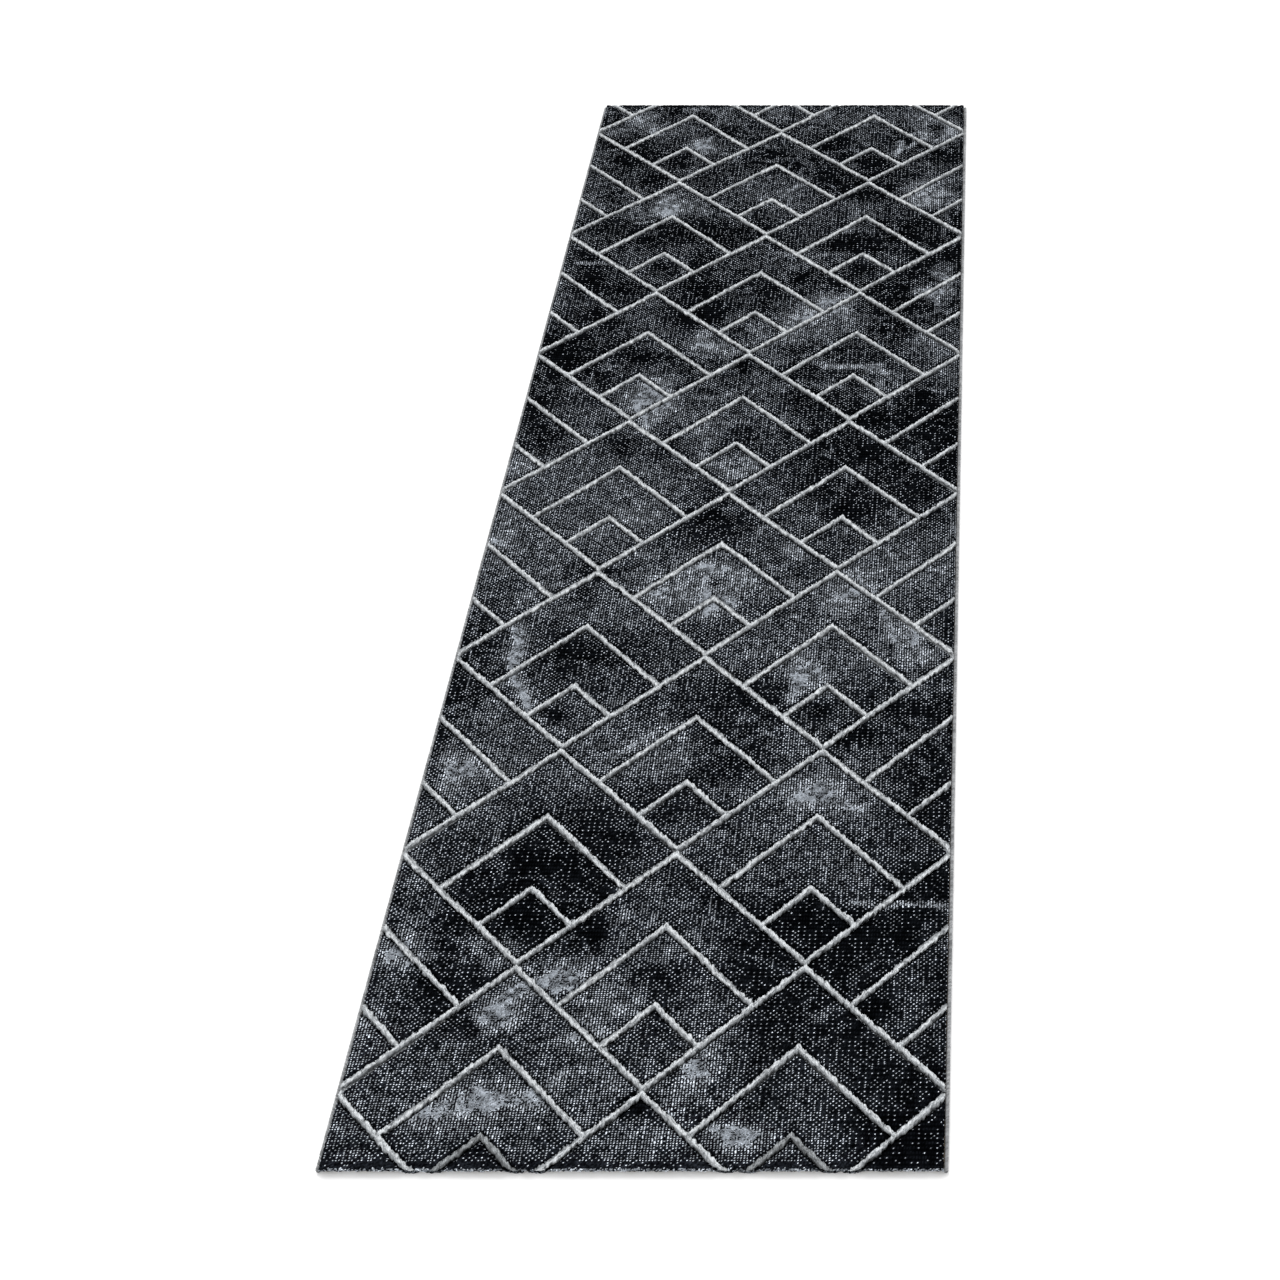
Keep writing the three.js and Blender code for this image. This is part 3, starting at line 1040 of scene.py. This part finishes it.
@dataclass
class DarkPile:
    """The marbled cut pile, tuft by tuft, in strips that run the rug's whole length.

    Attributes:
        shape: Where the pile's surface lies.
        lattice: The silver lines that it is carved along.
        marble: The marbling.
        pitch_x: Distance between tufts across the rug.
        pitch_y: Distance between tufts along the rug.
        strips: Number of strips.
        wander: How far a tuft strays from its place.
        ruffle: How far a tip stands above or below the others.
        patch: Distance between the lighter and darker patches of tufts.
        groove_depth: Depth of the carved groove beside a line.
        groove_inner: Distance from a line's edge at which the groove starts to rise.
        groove_outer: Distance from a line's edge at which it ends.
        under_line: Depth of the pile under a line.
        end_face: Depth of the mixed yarns on the end's own face.
        end_band: Width of the dark band before it.
        pieces: The strips, once they are made.
    """

    shape: PileShape
    lattice: Lattice
    marble: Marble = Marble()
    pitch_x: float = 2.0 * MM
    pitch_y: float = 1.66 * MM
    strips: int = 8
    wander: float = 0.6 * MM
    ruffle: float = 0.75 * MM
    patch: float = 9 * MM
    groove_depth: float = 4.2 * MM
    groove_inner: float = 2.2 * MM
    groove_outer: float = 5 * MM
    under_line: float = 5.2 * MM
    end_face: float = 6.5 * MM
    end_band: float = 9 * MM
    pieces: list = field(default_factory=list)

    def build(self) -> None:
        """Makes every strip."""
        self.columns = round(2 * self.shape.reach_x / self.pitch_x)
        self.rows = round(2 * self.shape.reach_y / self.pitch_y)
        self._lay_tufts()
        edges = np.round(np.linspace(0, self.columns, self.strips + 1)).astype(int)
        for number in range(self.strips):
            self._strip(number, int(edges[number]), int(edges[number + 1]))

    def _lay_tufts(self) -> None:
        """Chooses every tuft's place, height and yarn, so that neighbouring strips agree."""
        draw = np.random.default_rng(SEED)
        size = (self.columns + 1, self.rows + 1)
        column, row = np.meshgrid(np.arange(size[0]), np.arange(size[1]), indexing="ij")
        step_x = 2 * self.shape.reach_x / self.columns
        step_y = 2 * self.shape.reach_y / self.rows
        flat_x = column * step_x - self.shape.reach_x
        flat_y = row * step_y - self.shape.reach_y
        share = self.marble.share(flat_x, flat_y)
        order = self._order(column, row) + 0.16 * (draw.random(size) - 0.5)
        cloud = smooth_step(share, 0.24, 0.85)
        patchy = smooth_step(cloudy(flat_x, flat_y, self.patch, 2, Grain.PILE_PATCH), 0.3, 0.7)
        self.cloud = (0.4 + 0.5 * patchy) * cloud > 0.25 * (1 - order) + 0.75 * draw.random(size)
        self.fleck = (np.minimum(share, 0.42) * (1 - 0.3 * cloud) > order) & ~self.cloud
        self._finish_ends(flat_y, draw.random(size))
        strength = 0.5 + 1.0 * draw.random(size)
        self.bright = np.where(self.fleck, 1.35 - 1.6 * np.minimum(share, 0.45), 1) * strength
        ground = ~(self.fleck | self.cloud)
        ribs = 1.2 * (column % 2) * (row % 4 < 2)
        faded = 0.35 + ribs + 6 * draw.random(size) ** 2 * smooth_step(share, 0.03, 0.2)
        self.bright = np.where(ground, faded, self.bright) * (0.62 + 0.8 * patchy)
        self.over_x = flat_x + self.wander * (2 * draw.random(size) - 1)
        self.over_y = flat_y + self.wander * (2 * draw.random(size) - 1)
        away = self.lattice.distance(self.over_x, self.over_y)
        half = self.lattice.thickness / 2
        inner = half + self.groove_inner
        groove = self.groove_depth * (1 - smooth_step(away, inner, half + self.groove_outer))
        covered = 1 - smooth_step(away, half - 1 * MM, half + 0.6 * MM)
        under = (self.under_line - self.groove_depth) * covered
        self.height = self.shape.top - groove - under
        # Painted shade in the groove beside a line: tufts there are darkened in colour.
        self.painted_groove_shade = 1 - smooth_step(away, half + 1.5 * MM, half + 4 * MM)
        self.lift = self.ruffle * (2 * draw.random(size) - 1) + np.where(self.fleck, 0.2, -0.1) * MM

    def _finish_ends(self, flat_y: np.ndarray, chance: np.ndarray) -> None:
        """Leaves a dark band before each end, and mixed yarns on the end's own face.

        Args:
            flat_y: Distance of each tuft over the pile from the middle.
            chance: A number from 0 to 1 for each tuft.
        """
        edge = self.shape.reach_y - np.abs(flat_y)
        band = (edge > self.end_face) & (edge < self.end_face + self.end_band)
        face = edge <= self.end_face
        self.cloud = np.where(face, chance > 0.72, self.cloud & ~(band & (chance < 0.8)))
        self.fleck = np.where(face, chance < 0.3, self.fleck & ~(band & (chance < 0.75)))

    @staticmethod
    def _order(column: np.ndarray, row: np.ndarray) -> np.ndarray:
        """The order in which the tufts of a block of sixteen turn light, every other column first.

        Args:
            column: Tuft column.
            row: Tuft row.

        Returns:
            The share of light tufts at which each one turns light.
        """
        return (WEAVE_ORDER[row % 4, column % 4] + 0.5) / 16

    def _strip(self, number: int, first: int, last: int) -> None:
        """Makes one strip.

        Args:
            number: Which strip.
            first: Its first column of tufts.
            last: Its last column of tufts.
        """
        piece = tufted_slab(f"marbled_pile_strip_{number + 1}", last - first, self.rows, poke=False)
        unit = points_of(piece)
        column = np.round(unit[:, 0] * (last - first)).astype(int) + first
        row = np.round(unit[:, 1] * self.rows).astype(int)
        foot = unit[:, 2] < -0.5
        over_x = self.over_x[column, row]
        over_y = self.over_y[column, row]
        placed = self.shape.place(over_x, over_y, self.height[column, row], self.lift[column, row])
        inner_x = self.shape.half_width - 0.5 * MM
        inner_y = self.shape.half_length - 5 * MM
        placed[foot, 0] = np.clip(placed[foot, 0], -inner_x, inner_x)
        placed[foot, 1] = np.clip(placed[foot, 1], -inner_y, inner_y)
        placed[foot, 2] = self.shape.root + self.shape.lift(placed[foot, 1])
        move_points(piece, placed)
        # Each tuft's own brightness, times a painted shade in the groove beside a line and at the pile's
        # foot.
        shade = self.bright[column, row] * (1 - 0.7 * np.where(foot, 1, self.painted_groove_shade[column, row]))
        fleck = self.fleck[column, row].astype(float)
        paint_yarn(piece, fleck, shade, self.cloud[column, row].astype(float))
        run = np.clip(over_y + self.shape.reach_y, 0, 2 * self.shape.reach_y)
        width = (last - first) * self.pitch_x
        side = np.clip((unit[:, 0] * (last - first)) * self.pitch_x, 0, width)
        fold_map(piece, run, side, 2 * self.shape.reach_y, width)
        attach(piece, BODY)
        self.pieces.append(piece)
        log.info("%s: %d faces", piece.name, len(piece.data.polygons))

    def dress(self, finish: MarbleFinish) -> None:
        """Gives every strip its yarn, and stands the strips for the fields of the frame.

        Args:
            finish: The marbled yarn.
        """
        material = finish.material()
        for piece in self.pieces:
            piece.data.materials.append(material)
        for node in sorted(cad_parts):
            if not node.startswith("pile_field"):
                continue
            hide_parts(node)


@dataclass
class SilverLines:
    """The raised silver lines: zigzags that make the lattice, and the chevrons in its diamonds.

    Attributes:
        shape: Where the pile's surface lies.
        lattice: Where the lines run.
        rise: Height of the lines above the dark pile.
        bed: Depth of the lines' foot below the dark pile.
        pitch_x: Distance between tufts across the rug.
        strands: Tufts across a line.
        wander: How far a tuft strays from its place.
        fuzz: How far a clump leans out past a line's edge.
        fray: How far single tufts stray at the edge.
        tooth: Distance between the clumps that lean out.
        curl: Distance between the clumps that stand up.
        end_fade: Distance before the rug's end over which a line sinks to the dark pile.
        lattice_pieces: The zigzags.
        chevron_pieces: The rows of whole chevrons.
        cut_pieces: The row of chevrons that the near end cuts off.
    """

    shape: PileShape
    lattice: Lattice
    rise: float = 0.9 * MM
    bed: float = 6.5 * MM
    pitch_x: float = 2.3 * MM
    strands: int = 4
    wander: float = 0.9 * MM
    fuzz: float = 3 * MM
    fray: float = 2.2 * MM
    tooth: float = 3.7 * MM
    end_fade: float = 14 * MM
    curl: float = 2.6 * MM
    lattice_pieces: list = field(default_factory=list)
    chevron_pieces: list = field(default_factory=list)
    cut_pieces: list = field(default_factory=list)

    def build(self) -> None:
        """Makes every zigzag and chevron that crosses the rug."""
        self.draw = np.random.default_rng(SEED + 1)
        edge = self.shape.reach_x - 0.4 * MM
        reach = self.shape.reach_y
        for row in range(-1, 14):
            low = self.lattice.row_y(row)
            if low + 0.5 * self.lattice.along < -reach or low > reach:
                continue
            path = lambda x, r=row: self.lattice.zigzag(x, r)
            self.lattice_pieces.append(self._line(f"silver_zigzag_{row + 2}", -edge, edge, path))
        for row in range(0, 16):
            self._chevron_row(row, edge)

    def _chevron_row(self, row: int, edge: float) -> None:
        """Makes the chevrons that hang from one row of crossings.

        Args:
            row: The row of crossings.
            edge: Distance over the pile to its side.
        """
        top = self.lattice.row_y(row)
        shift = 0.5 * (row % 2)
        for kind in Chevron:
            apex = top - kind.drop * self.lattice.along
            span = kind.reach * self.lattice.across
            foot = apex - span * self.lattice.slope
            if foot > self.shape.reach_y - 4 * MM or apex < -self.shape.reach_y:
                continue
            legs = []
            for column in range(-2, 3):
                middle = (column + shift) * self.lattice.across
                left = max(-edge, middle - span)
                right = min(edge, middle + span)
                if right - left < 6 * MM:
                    continue
                path = lambda x, m=middle, a=apex: a - self.lattice.slope * np.abs(x - m)
                legs.append(self._line(f"leg_{row}_{kind.name}_{column + 3}", left, right, path))
            deselect()
            for leg in legs:
                leg.select_set(True)
            bpy.context.view_layer.objects.active = legs[0]
            if len(legs) > 1:
                bpy.ops.object.join()
            joined = bpy.context.view_layer.objects.active
            joined.name = f"silver_{kind.name.lower()}_chevrons_{row + 1}"
            joined.data.name = joined.name
            cut = foot < -self.shape.half_length
            (self.cut_pieces if cut else self.chevron_pieces).append(joined)
            log.info("%s: %d faces", joined.name, len(joined.data.polygons))

    def _line(self, name: str, left: float, right: float, path: Callable) -> bpy.types.Object:
        """Makes one line of silver tufts.

        Args:
            name: The piece's name.
            left: Where it starts across the rug.
            right: Where it ends.
            path: Y of its middle for each X.

        Returns:
            The closed piece.
        """
        columns = max(4, round((right - left) / self.pitch_x))
        piece = tufted_slab(name, columns, self.strands, poke=True)
        unit = points_of(piece)
        thick = self.lattice.thickness / self.lattice.squareness
        x = left + unit[:, 0] * (right - left)
        v = (unit[:, 1] - 0.5) * thick
        flat = np.column_stack((x, path(x) + v, unit[:, 2]))
        move_points(piece, flat)
        self._cut_ends(piece, flat)
        flat = points_of(piece)
        count = len(flat)
        noise = 2 * self.draw.random((count, 3)) - 1
        foot = flat[:, 2] < -0.01
        cell_x = (flat[:, 0] - left) / (right - left) * columns
        cell_v = ((flat[:, 1] - path(flat[:, 0])) / thick + 0.5) * self.strands
        tip = (np.abs(cell_x - np.round(cell_x)) > 0.25) & (np.abs(cell_v - np.round(cell_v)) > 0.25)
        rim = np.abs(cell_v - self.strands / 2) > self.strands / 2 - 0.2
        crown = 1 - (np.abs(cell_v / self.strands - 0.5) * 2) ** 4
        wave = 2.0 * MM * (noise_sheet(flat[:, 0] / (9 * MM), flat[:, 1] / (9 * MM), Grain.LINE_WAVE) - 0.5)
        clump = noise_sheet(flat[:, 0] / self.curl, flat[:, 1] / self.curl, Grain.LINE_CLUMP)
        stray = noise_sheet(flat[:, 0] / self.tooth, flat[:, 1] / self.tooth, Grain.LINE_STRAY) - 0.45
        outward = np.sign(cell_v - self.strands / 2) * (np.abs(cell_v / self.strands - 0.5) * 2) ** 3
        over_x = flat[:, 0] + self.wander * noise[:, 0]
        over_y = flat[:, 1] + self.wander * noise[:, 1] + wave + self.fuzz * outward * stray
        over_y += self.fray * rim * noise[:, 2]
        stand = np.where(tip, 0.9 + 0.6 * noise[:, 2], -0.8 + 0.4 * noise[:, 2])
        lift = stand * MM + 1.2 * MM * (clump - 0.5)
        lift += (crown - 1) * 0.7 * MM
        last = self.shape.reach_y
        fade = 1 - smooth_step(np.abs(over_y), last - self.end_fade, last - 2 * MM)
        lift = np.where(foot, lift, lift * (0.35 + 0.65 * fade) - 0.5 * MM * (1 - fade))
        height = self.shape.top + self.rise * fade
        limit_x = self.shape.reach_x - 0.3 * MM
        inside_x = np.clip(over_x, -limit_x, limit_x)
        placed = self.shape.place(inside_x, over_y, height, np.where(foot, -self.bed, lift))
        move_points(piece, placed)
        # Painted shade on one side of each line, standing in for its shadowed wall; the side swaps along the
        # line.
        across = 2 * (cell_v / self.strands - 0.5)
        sway = noise_sheet(flat[:, 0] / (90 * MM), flat[:, 1] / (90 * MM), Grain.LINE_SWAY)
        lean = np.where(sway > 0.4, -across, across)
        shaded = smooth_step(lean, 0.1, 0.55)
        patch = noise_sheet(flat[:, 0] / (6 * MM), flat[:, 1] / (6 * MM), Grain.LINE_PATCH)
        # Tone differs at random, and drops where clumps sink, a painted shade in the gaps between them.
        tone = 0.45 + 0.35 * smooth_step(clump, 0.3, 0.6)
        tone = tone + 0.25 * smooth_step(patch, 0.2, 0.7) + 0.7 * noise[:, 0]
        tone = np.clip(tone, 0, 1.15) * (1 - 0.62 * shaded)
        # Painted shade by depth: none on the tips, more between them and at the rim, most at the foot.
        paint_yarn(piece, tone, np.where(foot, 1.0, np.where(tip, 0.0, np.where(rim, 0.85, 0.62))))
        side = np.clip(flat[:, 1] - path(flat[:, 0]) + thick / 2, 0, thick)
        fold_map(piece, flat[:, 0] - left, side, right - left, thick)
        return piece

    def _cut_ends(self, piece: bpy.types.Object, flat: np.ndarray) -> None:
        """Cuts a line off where it runs past an end of the rug.

        Args:
            piece: The line, still flat. Not used.
            flat: Its vertices.
        """
        limit = self.shape.reach_y - 0.3 * MM
        for side in (-1, 1):
            if (side * flat[:, 1]).max() <= limit:
                continue
            bpy.ops.object.mode_set(mode="EDIT")
            bpy.ops.mesh.select_all(action="SELECT")
            bpy.ops.mesh.bisect(
                plane_co=(0, side * limit, 0), plane_no=(0, side, 0), use_fill=True, clear_outer=True
            )
            bpy.ops.object.mode_set(mode="OBJECT")

    def dress(self, finish: PileFinish, cut_finish: PileFinish) -> None:
        """Gives the lines their yarn.

        Args:
            finish: Silver yarn.
            cut_finish: A darker copy of the silver yarn, a painted shade, for the chevrons at the near end.
        """
        for pieces, kind in (
            (self.lattice_pieces, finish),
            (self.chevron_pieces, finish),
            (self.cut_pieces, cut_finish),
        ):
            material = kind.material()
            for piece in pieces:
                piece.data.materials.append(material)
                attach(piece, BODY)
        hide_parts("silver_line_lattice")
        for piece in self.cut_pieces:
            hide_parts("near_left_cut_chevron", "near_right_cut_chevron")


@dataclass
class OvercastEdge:
    """One long edge's overcasting: yarn wrapped over the cord, turn after turn.

    Attributes:
        side: Left or right, as -1 or 1.
        node: The frame's node that it stands for.
        pitch: Distance between turns.
        yarn: Thickness of the yarn.
        slant: How far a turn leans along the edge.
        girth: Length of one turn, for the piece's map.
        boxiness: Power that squares off a turn: 1 is round and 0 is square.
    """

    side: int
    node: str
    pitch: float = 2.1 * MM
    yarn: float = 1.15 * MM
    slant: float = 1.5 * MM
    girth: float = 18 * MM
    boxiness: float = 0.7

    def build(self) -> None:
        """Wraps the yarn along the edge."""
        low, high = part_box(self.node)
        draw = np.random.default_rng(SEED + 5 + self.side)
        middle = 0.5 * (low + high)
        reach_x = 0.5 * (high.x - low.x) - 0.5 * self.yarn
        reach_z = 0.5 * (high.z - low.z) - 0.5 * self.yarn
        turns = int((high.y - low.y) / self.pitch)
        deselect()
        bpy.ops.mesh.primitive_torus_add(
            major_radius=1.0,
            minor_radius=0.25,
            major_segments=9,
            minor_segments=4,
            rotation=(math.pi / 2, 0, 0),
        )
        wrap = bpy.context.object
        wrap.name = f"{self.node}_wraps"
        wrap.data.name = wrap.name
        bpy.ops.object.transform_apply(location=True, rotation=True, scale=True)
        row = wrap.modifiers.new("turns", "ARRAY")
        row.count = turns
        row.use_relative_offset = False
        row.use_constant_offset = True
        row.constant_offset_displace = (0, 10, 0)
        bpy.ops.object.modifier_apply(modifier=row.name)
        ring = points_of(wrap)
        turn = np.round(ring[:, 1] / 10).astype(int)
        local_y = ring[:, 1] - 10 * turn
        around = np.hypot(ring[:, 0], ring[:, 2])
        across = ring[:, 0] / around
        upward = ring[:, 2] / around
        thick = (around - 1) / 0.25 * 0.5 * self.yarn
        jitter = 2 * draw.random((turns, 3)) - 1
        flat = reach_x * np.sign(across) * np.abs(across) ** self.boxiness
        x = middle.x + flat + across * thick + 0.2 * MM * jitter[turn, 0]
        z = middle.z + reach_z * np.sign(upward) * np.abs(upward) ** self.boxiness + upward * thick
        y = low.y + (turn + 0.5) * self.pitch + local_y / 0.25 * 0.5 * self.pitch * 1.08
        y += self.slant * self.side * across + 0.25 * MM * jitter[turn, 1]
        y = np.clip(y, low.y, high.y)
        move_points(wrap, np.column_stack((x, y, np.maximum(z, low.z + 0.05 * MM))))
        bpy.ops.object.shade_smooth()
        slow = noise_sheet(y / (24 * MM), np.full(len(y), 0.5), Grain.BINDING)
        tone = np.clip(0.1 + 0.8 * slow + 0.45 * jitter[turn, 2], 0, 1)
        paint_yarn(wrap, tone, np.zeros(len(x)))
        angle = (np.arctan2(upward, across) / math.pi + 1) / 2
        fold_map(wrap, y - low.y, angle * self.girth, high.y - low.y, self.girth)
        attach(wrap, BODY)
        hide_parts(self.node)
        self.piece = wrap
        log.info("%s: %d turns", wrap.name, turns)

    def dress(self, finish: PileFinish) -> None:
        """Gives the wraps their yarn."""
        self.piece.data.materials.append(finish.material())


@dataclass
class GroundCloth:
    """The woven cloth under the pile, its two ends folded under as hems.

    Attributes:
        node: The frame's node that it stands for.
        thickness: Thickness of the cloth.
        hem_depth: Depth of a folded hem.
        fold_use: Part of the hem's depth that the fold itself takes up.
        clearance: Gap between the cloth and the pile's foot.
        columns: Faces across.
        rows: Faces along.
    """

    node: str = "ground_weave"
    thickness: float = 1.6 * MM
    hem_depth: float = 42 * MM
    fold_use: float = 4 * MM
    clearance: float = 0.3 * MM
    columns: int = 24
    rows: int = 360

    def build(self, shape: PileShape) -> None:
        """Folds the cloth.

        Args:
            shape: Where the pile's surface lies.
        """
        low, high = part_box(self.node)
        half = 0.5 * self.thickness
        upper = shape.root - self.clearance - half
        fold_end = high.y - half
        radius = 0.5 * (upper + shape.hem_lift - half)
        straight = fold_end - radius
        flap = self.hem_depth - self.fold_use
        side = straight + math.pi * radius + flap
        deselect()
        bpy.ops.mesh.primitive_grid_add(x_subdivisions=self.columns, y_subdivisions=self.rows, size=1)
        cloth = bpy.context.object
        cloth.name = "ground_cloth"
        cloth.data.name = cloth.name
        unit = points_of(cloth)
        run = unit[:, 1] * 2 * side
        far = np.abs(run)
        turn = np.clip((far - straight) / radius, 0, math.pi)
        back = np.clip(far - straight - math.pi * radius, 0, None)
        y = np.where(far < straight, far, straight + radius * np.sin(turn) - back)
        lifted = upper + shape.lift(y)
        centre = upper + shape.hem_lift - radius
        z = np.where(far < straight, lifted, centre + radius * np.cos(turn))
        half_x = np.where(back > 1 * MM, shape.half_width, 0.5 * (high.x - low.x))
        move_points(cloth, np.column_stack((unit[:, 0] * 2 * half_x, np.sign(run) * y, z)))
        wall = cloth.modifiers.new("wall", "SOLIDIFY")
        wall.thickness = self.thickness
        wall.offset = 0
        bpy.ops.object.modifier_apply(modifier=wall.name)
        bpy.ops.object.shade_smooth_by_angle(angle=math.radians(50))
        self.flat = (high.x - low.x, 2 * side)
        self.piece = cloth
        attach(cloth, BODY)
        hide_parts(self.node)
        log.info("%s: cut %.3f by %.3f m", cloth.name, *self.flat)

    def dress(self, finish: RibbedCloth) -> None:
        """Gives the cloth its weave."""
        self.piece.data.materials.append(finish.material())


def dress_nodes(finish: Any, *nodes: str) -> list:
    """Gives nodes of the frame a finish.

    Args:
        finish: Any of the finishes.
        nodes: Their names.

    Returns:
        The nodes' objects.
    """
    material = finish.material()
    dressed = []
    for name in nodes:
        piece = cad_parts[name]
        piece.data.materials.clear()
        piece.data.materials.append(material)
        dressed.append(piece)
        log.info("%s: %s", name, finish.name)
    return dressed


@dataclass
class Studio:
    """Camera, floor and soft light.

    Attributes:
        floor_size: Side of the floor.
        focal: The camera's lens in millimetres.
        shift: Sideways shift of the lens.
        stand: Where the camera stands.
        tilt: The camera's angle from straight down, in degrees.
        sun: Strength of the soft sun.
        sun_spread: Its width, in degrees.
        sun_turn: Its lean over the rug's length and width, in degrees.
    """

    floor_size: float = 40.0
    focal: float = 49.92
    shift: float = -0.2738
    stand: tuple[float, float, float] = (0.4531, -2.2627, 2.1130)
    tilt: float = 42.334
    sun: float = 1.6
    sun_spread: float = 35
    sun_turn: tuple[float, float] = (-38, -14)

    def camera(self) -> None:
        """Sets up the camera above the near end, looking down along the rug."""
        lens = bpy.data.cameras.new("studio_camera")
        lens.lens = self.focal
        lens.sensor_width = 36
        lens.shift_x = self.shift
        lens.clip_end = 100
        holder = bpy.data.objects.new("studio_camera", lens)
        holder.location = self.stand
        holder.rotation_euler = (math.radians(self.tilt), 0, 0)
        bpy.context.scene.collection.objects.link(holder)
        bpy.context.scene.camera = holder

    def floor(self) -> None:
        """Lays the pale floor."""
        deselect()
        bpy.ops.mesh.primitive_plane_add(size=self.floor_size, location=(0, 0, -0.3 * MM))
        floor = bpy.context.object
        floor.name = "studio_floor"
        board = NodeBoard("studio_floor")
        board.shader.inputs["Base Color"].default_value = (0.93, 0.93, 0.93, 1)
        board.shader.inputs["Roughness"].default_value = 0.9
        board.shader.inputs["Specular IOR Level"].default_value = 0.1
        floor.data.materials.append(board.material)

    def lights(self) -> None:
        """Hangs one wide soft sun beyond the far end, over a bright surround."""
        world = bpy.data.worlds.new("studio_surround")
        bpy.context.scene.world = world
        world.use_nodes = True
        world.node_tree.nodes["Background"].inputs["Color"].default_value = (1, 1, 1, 1)
        world.node_tree.nodes["Background"].inputs["Strength"].default_value = 1.0
        light = bpy.data.lights.new("far_softbox", "SUN")
        light.energy = self.sun
        light.angle = math.radians(self.sun_spread)
        lamp = bpy.data.objects.new("far_softbox", light)
        lamp.rotation_euler = (math.radians(self.sun_turn[0]), math.radians(self.sun_turn[1]), 0)
        bpy.context.scene.collection.objects.link(lamp)
        bpy.context.scene.view_settings.view_transform = "Standard"
        bpy.context.scene.view_settings.look = "None"


def main() -> None:
    """Builds the rug's pieces in order, then the studio."""
    logging.basicConfig(level=logging.INFO, format="%(message)s")
    studio = Studio()
    studio.camera()

    high = CAD_BOX[1]
    field_low, field_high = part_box("pile_field_centre_4")
    shape = PileShape(
        half_width=394.2 * MM,
        half_length=high[1],
        top=field_high.z,
        hem_lift=1.7 * MM,
        hem_start=1190 * MM,
        hem_end=1208 * MM,
        root=field_low.z,
    )
    lattice = Lattice(
        across=396.6 * MM, along=380.5 * MM, first=-1141.5 * MM, thickness=6.9 * MM, parting=3.9 * MM
    )
    pile = DarkPile(shape, lattice)
    pile.build()
    pile.dress(
        MarbleFinish("marbled_yarn", (0.003, 0.0035, 0.0045), (0.38, 0.41, 0.45), (0.178, 0.195, 0.218))
    )
    lines = SilverLines(shape, lattice)
    lines.build()
    lines.dress(
        PileFinish("silver_yarn", (0.15, 0.165, 0.18), (0.93, 0.97, 1.0), 0.43, 0.65, 0.0, 0.3),
        # A darker copy of the silver yarn: painted shade on the cut chevrons at the near end.
        PileFinish("dull_silver_yarn", (0.08, 0.085, 0.09), (0.50, 0.53, 0.55), 0.2, 0.7, 0.0, 0.3),
    )
    edges = [OvercastEdge(-1, "left_overcast_binding"), OvercastEdge(1, "right_overcast_binding")]
    for edge in edges:
        edge.build()
        edge.dress(
            PileFinish("overcasting_yarn", (0.16, 0.165, 0.17), (0.42, 0.43, 0.44), 0.6, 0.7, 0.15, 0.3)
        )
    cloth = GroundCloth()
    cloth.build(shape)
    cloth.dress(
        RibbedCloth("ribbed_ground_weave", (0.42, 0.33, 0.22), (0.62, 0.58, 0.50), 2.5 * MM, 4.7 * MM)
    )
    backing = dress_nodes(
        FilmFinish("brushed_sizing", (0.50, 0.43, 0.33), (0.38, 0.30, 0.21), 0.7, 0.05), "back_sizing"
    )
    backing += dress_nodes(
        FilmFinish("melted_adhesive", (0.62, 0.56, 0.44), (0.50, 0.44, 0.33), 0.35, 0.3),
        "near_hem_adhesive",
        "far_hem_adhesive",
    )
    cords = dress_nodes(
        ThreadFinish(
            name="twisted_cord",
            first=(0.34, 0.31, 0.27),
            second=(0.22, 0.20, 0.17),
            strand=0.9 * MM,
            along=(1, 0.4, 1),
            roughness=0.85,
            relief=0.3 * MM,
        ),
        "left_selvedge_cord",
        "right_selvedge_cord",
    )
    carried = [*pile.pieces, *lines.lattice_pieces, *lines.chevron_pieces, *lines.cut_pieces]
    carried += [edge.piece for edge in edges] + backing + cords
    studio.floor()
    studio.lights()


if __name__ == "__main__":
    main()
